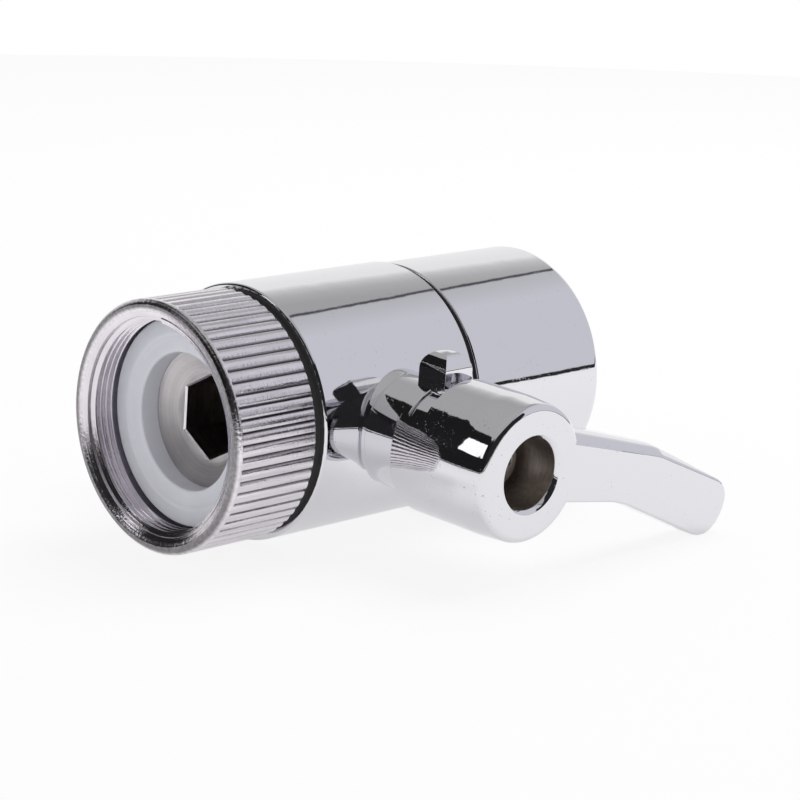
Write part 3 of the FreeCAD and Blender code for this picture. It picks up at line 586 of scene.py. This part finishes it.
class VALVE_OT_make_finishes(bpy.types.Operator):
    """Make every finish of the valve"""

    bl_idname = "valve.make_finishes"
    bl_label = "Make Finishes"

    def execute(self, context):
        colours = context.scene.valve_finishes
        plating = make_plating_group()
        turning = make_turning_group()
        moulding = make_moulding_group()
        for name, waves, pits in (("polished_plating", 0.5, 0.35), ("lever_plating", 1.0, 1.0)):
            make_chrome(name, colours.chrome, plating, roughness=0.03, waves=waves, pits=pits)
        make_nut_plating(colours.nut_plating, plating, turning)
        # The socket's finish is the casting's colour darkened as painted shade in the hexagon
        # recess.
        shaded = [channel * SOCKET_SHADE for channel in colours.casting]
        for name, colour, roughness, spacing, patch_shade in (
                ("thread_plating", colours.nut_plating, 0.06, 5200.0, 0.85),
                ("stud_satin", colours.stud, 0.46, 3600.0, 0.82),
                ("bare_casting", colours.casting, 0.34, 2600.0, 0.7),
                ("socket_painted_shade", shaded, 0.34, 1800.0, 0.45),
                ("turned_brass", colours.brass, 0.24, 5200.0, 0.86),
                ("plain_steel", colours.steel, 0.26, 5000.0, 0.8)):
            make_satin_metal(name, colour, turning, roughness, spacing, patch_shade)
        make_plastic(
            "milky_plastic", colours.washer, moulding, roughness=0.34, grain=2200.0,
            patch_shade=0.95, bump=MILKY_BUMP, Subsurface_Weight=0.35,
            Subsurface_Radius=(1.0, 1.0, 1.1), Subsurface_Scale=0.0012)
        make_plastic(
            "black_rubber", colours.rubber, moulding, roughness=0.42, grain=5200.0,
            patch_shade=0.6)
        make_plastic("slide_plastic", colours.slide, moulding, roughness=0.36)
        make_plastic(
            "grey_plastic", colours.grey_plastic, moulding, roughness=0.38, grain=2600.0,
            patch_shade=0.8)
        return {"FINISHED"}


# Pieces

class VALVE_OT_make_body(bpy.types.Operator):
    """Make the body casting with its boss, stop tab, side outlet and bores"""

    bl_idname = "valve.make_body"
    bl_label = "Make Body"

    def execute(self, context):
        body = turn("body_casting", [
            (-6.75, 0), (-6.75, 8.0), (-11.75, 8.0, 0.15), (-11.75, 14.4, 0.3), (11.15, 14.4, 0.12),
            (11.15, 11.5), (19.15, 11.5, 0.3), (19.15, 8.0, 0.2), (9.0, 8.0), (9.0, 0)],
            closed=False)
        dress(body, finish("polished_plating"))
        boss = turn("boss", [
            (8.95, 0), (8.95, 6.5), (12.9, 6.5, 0.3), (14.2, 6.2, 0.3), (14.8, 6.2),
            (14.8, 6.5, 0.2), (20.1, 6.5, 0.2), (20.1, 6.2), (22.0, 6.2), (22.0, 0)],
            "Y", closed=False)
        join_shapes(body, dress(boss, finish("polished_plating")))
        side = turn("side_outlet", [
            (-8.95, 0), (-8.95, 8.4), (-13.4, 8.4, 0.3), (-14.6, 7.4, 0.3), (-15.8, 7.4, 0.2),
            (-15.8, 5.65), (-16.9, 5.65), (-17.4, 5.98), (-24.3, 5.98), (-25.0, 5.5, 0.1),
            (-25.0, 0)], "Y", closed=False)
        join_shapes(body, dress(side, finish("polished_plating")))
        join_shapes(body, self.stop_tab())
        inside = finish("bare_casting")
        for hollow in self.hollows():
            join_shapes(body, dress(hollow, inside), "DIFFERENCE")
        thread = wind_ridge(
            "side_thread", start=-24.4, length=6.6, foot=5.9, crest=6.55, about="Y",
            pitch=context.scene.valve_sizes.side_pitch / MM)
        dress(thread, finish("polished_plating"))
        polish(body)
        polish(thread)
        fit(body, "valve", "valve_body")
        rest()
        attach(thread, "valve")
        return {"FINISHED"}

    def stop_tab(self):
        """The tab on the boss that the lever's skirt turns against, with a round top."""
        half_width, top_rounding = 2.05, 2.04
        tab = block("stop_tab", (-half_width, -22.0, 5.4), (half_width, -18.0, 10.3))
        pick(tab, lambda co: co.z > 8 * MM)
        bpy.ops.mesh.bevel(offset=top_rounding * MM, segments=10, affect="EDGES")
        pick(tab, lambda co: True)
        bpy.ops.object.mode_set(mode="OBJECT")
        soften(tab, 0.16, angle=40)
        return dress(tab, finish("polished_plating"))

    def hollows(self):
        """The bores through the casting, each a shape to cut away."""
        yield turn("cross_bore", [
            (23.0, 0), (23.0, 5.25), (19.6, 5.25), (19.6, 5.85), (18.8, 5.85), (18.8, 5.25),
            (-9.05, 5.25), (-9.05, 3.4), (-26.0, 3.4), (-26.0, 0)], "Y", closed=False, steps=96)
        yield block("inlet_window", (-7.25, -6.0, -2.6), (0.0, 6.0, 2.6))
        yield rod("seat_pocket", radius=3.9, start=0.0, end=7.6, shift=3.5)
        yield rod("outlet_window", radius=2.5, start=0.0, end=9.5, shift=3.5)


# The nut's radii and the reach of its knurl, in millimetres
NUT_CREST = 13.95
KNURL_EDGE = 13.6
BORE_EDGE = 12.6
KNURL_START, KNURL_END = -22.95, -12.7

# A ridge and its groove are so many steps round the nut. A groove takes a share of the knurl's
# depth at the steps that are named with it.
RIDGE_PARTS = 8
GROOVE = ((1.0, (0,)), (0.30, (1, 7)), (0.08, (2, 6)))


class VALVE_OT_make_nut(bpy.types.Operator):
    """Make the knurled swivel nut and its inner thread"""

    bl_idname = "valve.make_nut"
    bl_label = "Make Swivel Nut"

    def execute(self, context):
        sizes = context.scene.valve_sizes
        nut = turn("swivel_nut", [
            (-23.75, 13.02, 0.08), (-23.75, 13.45, 0.12), (-23.3, NUT_CREST, 0.1),
            (-23.0, NUT_CREST), (-22.85, NUT_CREST), (-12.8, NUT_CREST), (-12.55, 13.7),
            (-12.55, 8.25), (-14.45, 8.25), (-14.45, 12.02), (-23.25, 12.02, 0.05),
            (-23.55, 12.65, 0.1)], steps=sizes.knurl_ridges * RIDGE_PARTS)
        pitch = math.tau / sizes.knurl_ridges
        for share, places in GROOVE:
            pick(nut, lambda co: self.on_knurl(co) and self.part_of(co, pitch) in places)
            shrink = 1 - sizes.knurl_depth * share / (NUT_CREST * MM)
            bpy.ops.transform.resize(value=(1, shrink, shrink), center_override=(0, 0, 0))
        bpy.ops.object.mode_set(mode="OBJECT")
        dress(nut, finish("nut_plating"))
        thread = wind_ridge(
            "nut_thread", start=-23.05, length=3.1, foot=12.06, crest=11.5, about="X",
            pitch=sizes.thread_pitch / MM)
        dress(thread, finish("thread_plating"))
        self.brighten_bore(nut)
        polish(nut, 24)
        polish(thread)
        fit(nut, "nut", "inlet_swivel_nut")
        rest()
        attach(thread, "nut")
        return {"FINISHED"}

    def brighten_bore(self, nut):
        """The threaded bore is cut clean, so it is brighter than the knurled outside."""
        nut.data.materials.append(finish("thread_plating"))
        for face in nut.data.polygons:
            if math.hypot(face.center.y, face.center.z) < BORE_EDGE * MM:
                face.material_index = 1

    def on_knurl(self, co):
        """Whether a place is on the knurled band."""
        along = (co.x - CROSSING) / MM
        return math.hypot(co.y, co.z) > KNURL_EDGE * MM and KNURL_START < along < KNURL_END

    def part_of(self, co, pitch):
        """Which step of its ridge a place is on, from nought in the groove."""
        return round(math.atan2(co.y, co.z) / (pitch / RIDGE_PARTS)) % RIDGE_PARTS


# From the middle of the stud's hexagon socket to its corners, in millimetres
SOCKET_CORNER = 8.4 / math.sqrt(3)


class VALVE_OT_make_stud(bpy.types.Operator):
    """Make the hollow stud with its dished, hexagon-socket head, and the milky washer on it"""

    bl_idname = "valve.make_stud"
    bl_label = "Make Stud and Washer"

    def execute(self, context):
        stud = turn("hollow_stud", [
            (-15.7, 0), (-15.7, 5.12, 0.3), (-16.7, 7.3, 0.3), (-16.8, 7.6), (-16.8, 10.9, 0.2),
            (-14.6, 10.9, 0.15), (-14.6, 7.95), (-7.65, 7.95, 0.3), (-7.65, 4.55), (-9.7, 4.55),
            (-9.7, 0)], closed=False)
        dress(stud, finish("stud_satin"))
        # The hexagon's walls take the darkened finish: painted shade inside the socket.
        socket = rod(
            "hexagon", SOCKET_CORNER, start=-16.95, end=-9.75, sides=6, turned=math.pi / 6)
        join_shapes(stud, dress(socket, finish("socket_painted_shade")), "DIFFERENCE")
        burr = rod(
            "burred_edge", SOCKET_CORNER, start=-15.8, end=-15.5, sides=6, turned=math.pi / 6,
            flare=0.3)
        join_shapes(stud, dress(burr, finish("thread_plating")), "DIFFERENCE")
        polish(stud)
        fit(stud, "valve", "inlet_stud")
        washer = turn("milky_washer", [
            (-19.6, 9.6, 0.3), (-19.6, 11.55, 0.25), (-16.8, 11.55, 0.2), (-16.8, 7.6, 0.1),
            (-19.3, 7.6, 0.3), (-19.3, 9.1, 0.3)])
        dress(washer, finish("milky_plastic"))
        polish(washer)
        fit(washer, "valve", "inlet_washer")
        return {"FINISHED"}


# The front of the lever's hub, and its bore's mouth, floor and wall, in millimetres
HUB_FRONT = 33.7
BORE_MOUTH, BORE_FLOOR, BORE_WALL = 33.2, 26.9, 3.95

# The arm's outline is drawn back in bands of (depth, lift), and the lift of its upper edge is
# shared out over its length by (near, far, share). That edge lies above a falling line.
ARM_BANDS = ((1.1, 1.1), (1.3, 0.25), (2.9, 0.0))
ARM_LIFTS = ((0.0, 15.0, 1.0), (15.0, 27.0, 0.7), (27.0, 40.0, 0.2))
ARM_ROOT, ARM_MIDDLE, ARM_FALL = 5.4, -0.2, 0.29

# The skirt is cut away from a turn over an opening, in degrees, and between two radii.
CUT_START, CUT_OPENING, CUT_STEPS = 20, 127, 16
CUT_INSIDE, CUT_OUTSIDE = 6.0, 9.8


class VALVE_OT_make_lever(bpy.types.Operator):
    """Make the lever: its hub with the cut-away skirt, flowing into the bevelled, kinked arm"""

    bl_idname = "valve.make_lever"
    bl_label = "Make Lever"

    def execute(self, context):
        hub = turn("lever_casting", [
            (20.25, 7.15), (20.25, 7.85, 0.15), (29.9, 7.85, 0.6), (HUB_FRONT, 7.56, 0.8),
            (HUB_FRONT, 4.35, 0.12), (33.25, 3.9, 0.12), (27.0, 3.9), (27.0, 1.75), (20.55, 1.75),
            (20.55, 4.85, 0.1), (23.15, 4.85), (23.15, 7.15)], "Y")
        dress(hub, finish("lever_plating"))
        self.darken_bore(hub)
        join_shapes(hub, dress(self.arm(), finish("lever_plating")))
        socket = block("square_socket", (-2.3, -25.35, -2.3), (2.3, -20.2, 2.3))
        join_shapes(hub, dress(socket, finish("bare_casting")), "DIFFERENCE")
        join_shapes(hub, dress(self.skirt_cut(), finish("lever_plating")), "DIFFERENCE")
        polish(hub, 28)
        fit(hub, "lever", "lever_handle")
        return {"FINISHED"}

    def darken_bore(self, hub):
        """The bore's wall and floor are bare casting."""
        hub.data.materials.append(finish("bare_casting"))
        for face in hub.data.polygons:
            radius = math.hypot(face.center.x - CROSSING, face.center.z)
            inside = -BORE_MOUTH * MM < face.center.y < -BORE_FLOOR * MM
            if inside and radius < BORE_WALL * MM:
                face.material_index = 1

    def arm(self):
        """The kinked arm with its raised upper edge, thinned towards the tip by a slanting cut."""
        corners = [
            (ARM_ROOT, 2.75), (ARM_ROOT, -4.05), (15.0, -5.7, 1.8), (31.65, -13.4, 3.4),
            (34.7, -7.1, 2.7), (21.3, -1.35, 0.5)]
        arm = lay_face("arm", corners, HUB_FRONT)
        for depth, lift in ARM_BANDS:
            draw_back(depth)
            if lift:
                self.raise_top(arm, lift)
        bpy.ops.mesh.select_all(action="SELECT")
        bpy.ops.mesh.normals_make_consistent(inside=False)
        slant = Vector((27.85, -2.7, 0)).normalized()
        bpy.ops.mesh.bisect(
            plane_co=(CROSSING + 8.85 * MM, -28.4 * MM, 0), plane_no=(-slant.y, slant.x, 0),
            use_fill=True, clear_outer=True)
        close_skin()
        soften(arm, 0.32, angle=18, segments=4)
        return arm

    def raise_top(self, arm, lift):
        """Lift the upper edge of the newest outline, and less so towards the arm's tip."""
        bpy.ops.object.mode_set(mode="OBJECT")
        newest = max(vertex.co.y for vertex in arm.data.vertices)
        for near, far, share in ARM_LIFTS:
            pick(arm, lambda co: abs(co.y - newest) < MERGE and self.on_top(co, near, far))
            bpy.ops.transform.translate(value=(0, 0, lift * share * MM))
        pick(arm, lambda co: abs(co.y - newest) < MERGE)

    def on_top(self, co, near, far):
        """Whether a place is above the arm's falling middle line, between two reaches."""
        reach, rise = (co.x - CROSSING) / MM, co.z / MM
        return near <= reach < far and rise > ARM_MIDDLE - ARM_FALL * (reach - ARM_ROOT)

    def skirt_cut(self):
        """A wedge that clears the part of the skirt where the stop tab stands."""
        turns = [
            math.radians(CUT_START + CUT_OPENING * step / CUT_STEPS)
            for step in range(CUT_STEPS + 1)]
        corners = [
            (radius * math.cos(angle), radius * math.sin(angle))
            for radius, angles in ((CUT_INSIDE, turns), (CUT_OUTSIDE, turns[::-1]))
            for angle in angles]
        wedge = lay_face("skirt_cut", corners, 23.5)
        draw_back(4.3)
        close_skin()
        return wedge


class VALVE_OT_make_sleeve(bpy.types.Operator):
    """Make the polished outlet sleeve"""

    bl_idname = "valve.make_sleeve"
    bl_label = "Make Outlet Sleeve"

    def execute(self, context):
        sleeve = turn("polished_sleeve", [
            (12.1, 11.8), (12.1, 14.15, 0.2), (33.0, 14.15, 1.15), (33.0, 8.6, 0.35), (31.8, 8.6),
            (31.8, 10.9), (20.85, 10.9), (20.85, 11.8)])
        dress(sleeve, finish("polished_plating"))
        polish(sleeve)
        fit(sleeve, "valve", "outlet_sleeve")
        return {"FINISHED"}


NODE_FINISHES = {
    "swivel_ring": "black_rubber",
    "stud_gasket": "black_rubber",
    "rotor_plug": "turned_brass",
    "rotor_o_ring_rear": "black_rubber",
    "rotor_o_ring_middle": "black_rubber",
    "rotor_o_ring_front": "black_rubber",
    "outlet_seat": "black_rubber",
    "rotor_washer": "slide_plastic",
    "retaining_ring": "plain_steel",
    "lever_screw": "plain_steel",
    "lock_washer": "plain_steel",
    "outlet_o_ring": "black_rubber",
    "aerator_gasket": "black_rubber",
    "aerator_housing": "grey_plastic",
    "aerator_dome_screen": "plain_steel",
    "aerator_diffuser": "grey_plastic",
    "aerator_outlet_screen": "grey_plastic",
}


class VALVE_OT_dress_inner_parts(bpy.types.Operator):
    """Give the rotor, seals, screw and aerator parts their finishes"""

    bl_idname = "valve.dress_inner_parts"
    bl_label = "Dress Inner Parts"

    def execute(self, context):
        for name, kind in NODE_FINISHES.items():
            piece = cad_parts[name]
            piece.data.materials.clear()
            piece.data.materials.append(finish(kind))
        return {"FINISHED"}


# Stage

WHITE = (1.0, 1.0, 1.0, 1.0)

# The floor's radius in metres, and how much it glows to the camera and in the plating
FLOOR_RADIUS = 0.6
FLOOR_SEEN = 0.86
FLOOR_MIRRORED = 0.5

# A card's name and two turns in degrees, then its distance, bottom and top in metres, and tone
CARDS = (
    ("dark_side_foot", -125, -12, 0.60, -0.01, 0.012, 0.012),
    ("dark_corner", -215, -125, 0.58, 0.03, 0.55, 0.02),
    ("dark_side", -125, -12, 0.60, 0.016, 0.72, 0.012),
    ("horizon_line", 100, 235, 0.34, -0.016, 0.0135, 0.02),
    ("small_softbox", -62, -51, 0.50, 0.20, 0.42, 1.25),
)
CARD_STEPS = 24

# The room that the plating reflects, in stops of (place, tone): its brightness by height, how
# far its grey side takes over by direction, and the dark edge high up where that side begins
ROOM_HEIGHTS = (
    (0.0, 0.86), (0.62, 0.92), (0.735, 0.91), (0.77, 0.66), (0.81, 0.50), (0.85, 0.42),
    (1.0, 0.45))
ROOM_SIDES = ((0.0, 0.0), (0.478, 0.0), (0.493, 0.5), (0.55, 0.62), (0.68, 1.0), (1.0, 1.0))
ROOM_EDGE = ((0.0, 1.0), (0.466, 1.0), (0.475, 0.18), (0.488, 0.18), (0.498, 1.0), (1.0, 1.0))
SIDE_WAY = (0.82, -0.57, 0.0)
SIDE_TONE = (0.655, 0.66, 0.71, 1.0)

# The lamp's place, the place it points at and its width in metres, and its power in watts
LAMP_PLACE = (0.30, 0.05, 0.55)
LAMP_AIM = (0.02, 0, 0)
LAMP_WIDTH = 0.45
LAMP_POWER = 2.2

SENSOR_WIDTH = 36.0

def tilt_stage(piece, studio):
    """Turn a stage piece with the floor and apply it."""
    work_on(piece)
    turned = Matrix.Rotation(-studio.tilt, 4, "X") @ Matrix.Translation((0, 0, -studio.floor_drop))
    piece.data.transform(turned @ piece.matrix_world)
    piece.matrix_world = Matrix.Identity(4)


def card(name, low_turn, high_turn, distance, bottom, top, tone):
    """A curved card round the valve, between two turns in degrees from +Y towards +X."""
    rest()
    rim = []
    for step in range(CARD_STEPS + 1):
        angle = math.radians(low_turn + (high_turn - low_turn) * step / CARD_STEPS)
        rim.append(Vector((distance * math.sin(angle), distance * math.cos(angle), bottom)))
    piece = draw_wire(name, rim, False, [0] * len(rim))
    bpy.ops.mesh.extrude_region_move(TRANSFORM_OT_translate={"value": (0, 0, top - bottom)})
    bpy.ops.object.mode_set(mode="OBJECT")
    tree, _ = new_finish(name)
    glow = add_node(tree, "Emission")
    feed(tree, glow, Color=(tone, tone, tone * 1.04, 1.0), Strength=1.0)
    tree.links.new(glow.outputs[0], tree.nodes["Material Output"].inputs["Surface"])
    dress(piece, finish(name))
    piece.visible_camera = False
    piece.visible_diffuse = False
    piece.visible_shadow = False
    return piece


class VALVE_OT_make_stage(bpy.types.Operator):
    """Make the floor, the cards that the plating reflects, the light and the camera"""

    bl_idname = "valve.make_stage"
    bl_label = "Make Stage"

    def execute(self, context):
        studio = context.scene.valve_studio
        self.make_floor(studio)
        for values in CARDS:
            tilt_stage(card(*values), studio)
        self.make_world(context.scene, studio)
        self.make_lamp()
        self.make_camera(context.scene, studio)
        return {"FINISHED"}

    def make_floor(self, studio):
        """A pale floor that is clear when it is seen from below."""
        rest()
        bpy.ops.mesh.primitive_circle_add(
            vertices=96, radius=FLOOR_RADIUS, fill_type="NGON", location=(0, 0, 0))
        floor = bpy.context.object
        floor.name = "floor"
        tree, shader = new_finish(
            "white_floor", Base_Color=[*studio.floor, 1.0], Roughness=0.9, Specular_IOR_Level=0.0)
        rays = add_node(tree, "LightPath")
        glow = add_node(tree, "Emission")
        feed(tree, glow, Color=WHITE, Strength=1.0)
        mirrored = maths(
            tree, "MAXIMUM", rays.outputs["Is Glossy Ray"], rays.outputs["Is Transmission Ray"])
        mirrored = maths(tree, "MULTIPLY", mirrored, FLOOR_MIRRORED)
        share = maths(tree, "MULTIPLY", rays.outputs["Is Camera Ray"], FLOOR_SEEN)
        share = maths(tree, "MAXIMUM", share, mirrored)
        seen = add_node(tree, "MixShader")
        feed(tree, seen, i0=share, i1=shader.outputs[0], i2=glow.outputs[0])
        clear = add_node(tree, "BsdfTransparent")
        side = add_node(tree, "NewGeometry").outputs["Backfacing"]
        below = add_node(tree, "MixShader")
        feed(tree, below, i0=side, i1=seen.outputs[0], i2=clear.outputs[0])
        tree.links.new(below.outputs[0], tree.nodes["Material Output"].inputs["Surface"])
        dress(floor, finish("white_floor"))
        tilt_stage(floor, studio)

    def make_world(self, scene, studio):
        """White behind the valve, and a soft room for what the plating reflects."""
        world = bpy.data.worlds.new("soft_room")
        scene.world = world
        world.use_nodes = True
        tree = world.node_tree
        tree.nodes.clear()
        way = add_node(tree, "TexCoord").outputs["Generated"]
        level = add_node(tree, "Mapping")
        feed(tree, level, Vector=way, Rotation=(studio.tilt, 0.0, 0.0))
        parts = add_node(tree, "SeparateXYZ")
        feed(tree, parts, Vector=level.outputs[0])
        # The node adds 0.5, so heights from -1 to 1 run over the whole ramp.
        upward = maths(tree, "MULTIPLY_ADD", parts.outputs["Z"], 0.5)
        heights = self.ramp(tree, upward, ROOM_HEIGHTS)
        sideways = add_node(tree, "VectorMath", operation="DOT_PRODUCT")
        feed(tree, sideways, i0=level.outputs[0], i1=SIDE_WAY)
        sides = self.ramp(tree, sideways.outputs["Value"], ROOM_SIDES)
        room = add_node(tree, "Mix", data_type="RGBA")
        feed(tree, room, i0=sides, i6=heights, i7=SIDE_TONE)
        edge = self.ramp(tree, sideways.outputs["Value"], ROOM_EDGE)
        high = span(tree, parts.outputs["Z"], 0.5, 0.6)
        shade = add_node(tree, "Mix", data_type="RGBA")
        feed(tree, shade, i0=high, i6=WHITE, i7=edge)
        tinted = add_node(tree, "Mix", data_type="RGBA", blend_type="MULTIPLY")
        feed(tree, tinted, i0=1.0, i6=room.outputs[2], i7=shade.outputs[2])
        soft = add_node(tree, "Background")
        feed(tree, soft, Color=tinted.outputs[2], Strength=1.0)
        white = add_node(tree, "Background")
        feed(tree, white, Color=WHITE, Strength=1.0)
        rays = add_node(tree, "LightPath")
        seen = add_node(tree, "MixShader")
        feed(tree, seen, i0=rays.outputs["Is Camera Ray"], i1=soft.outputs[0], i2=white.outputs[0])
        output = add_node(tree, "OutputWorld")
        tree.links.new(seen.outputs[0], output.inputs["Surface"])

    def ramp(self, tree, value, stops):
        """Tones by place. All places are set before the tones, since stops are kept in order."""
        node = add_node(tree, "ValToRGB")
        tree.links.new(value, node.inputs[0])
        elements = node.color_ramp.elements
        while len(elements) < len(stops):
            elements.new(1.0)
        for element, (place, _) in zip(elements, stops):
            element.position = place
        for element, (_, tone) in zip(elements, stops):
            element.color = (tone, tone, tone, 1.0)
        return node.outputs[0]

    def make_lamp(self):
        rest()
        bpy.ops.object.light_add(type="AREA", location=LAMP_PLACE)
        lamp = bpy.context.object
        lamp.name = "overhead_softbox"
        lamp.data.size = LAMP_WIDTH
        lamp.data.energy = LAMP_POWER
        way = Vector(LAMP_AIM) - lamp.location
        lamp.rotation_euler = way.to_track_quat("-Z", "Y").to_euler()
        lamp.visible_glossy = False

    def make_camera(self, scene, studio):
        rest()
        bpy.ops.object.camera_add(location=studio.eye, rotation=studio.aim)
        camera = bpy.context.object
        camera.name = "photo_camera"
        camera.data.sensor_width = SENSOR_WIDTH
        camera.data.lens = studio.lens
        camera.data.clip_start = 0.01
        camera.data.clip_end = 10.0
        scene.camera = camera
        scene.view_settings.view_transform = "Standard"


class VALVE_PT_panel(bpy.types.Panel):
    bl_label = "Diverter Valve"
    bl_idname = "VALVE_PT_panel"
    bl_space_type = "VIEW_3D"
    bl_region_type = "UI"
    bl_category = "Diverter Valve"

    def draw(self, context):
        scene = context.scene
        for settings in (scene.valve_sizes, scene.valve_finishes, scene.valve_studio):
            box = self.layout.box()
            for name in settings.__annotations__:
                box.prop(settings, name)
        for step in STEPS:
            self.layout.operator(step.bl_idname)


GROUPS = (ValveSizes, ValveFinishes, ValveStudio)
STEPS = (
    VALVE_OT_make_finishes, VALVE_OT_make_body, VALVE_OT_make_nut, VALVE_OT_make_stud,
    VALVE_OT_make_lever, VALVE_OT_make_sleeve, VALVE_OT_dress_inner_parts, VALVE_OT_make_stage)


def register():
    for kind in (*GROUPS, *STEPS, VALVE_PT_panel):
        bpy.utils.register_class(kind)
    bpy.types.Scene.valve_sizes = bpy.props.PointerProperty(type=ValveSizes)
    bpy.types.Scene.valve_finishes = bpy.props.PointerProperty(type=ValveFinishes)
    bpy.types.Scene.valve_studio = bpy.props.PointerProperty(type=ValveStudio)


def unregister():
    del bpy.types.Scene.valve_studio
    del bpy.types.Scene.valve_finishes
    del bpy.types.Scene.valve_sizes
    for kind in (VALVE_PT_panel, *reversed(STEPS), *reversed(GROUPS)):
        bpy.utils.unregister_class(kind)


def main():
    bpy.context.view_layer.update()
    register()
    for step in STEPS:
        family, name = step.bl_idname.split(".")
        if getattr(getattr(bpy.ops, family), name)() != {"FINISHED"}:
            raise RuntimeError(f"{step.bl_label} did not finish")
    rest()


if __name__ == "__main__":
    main()
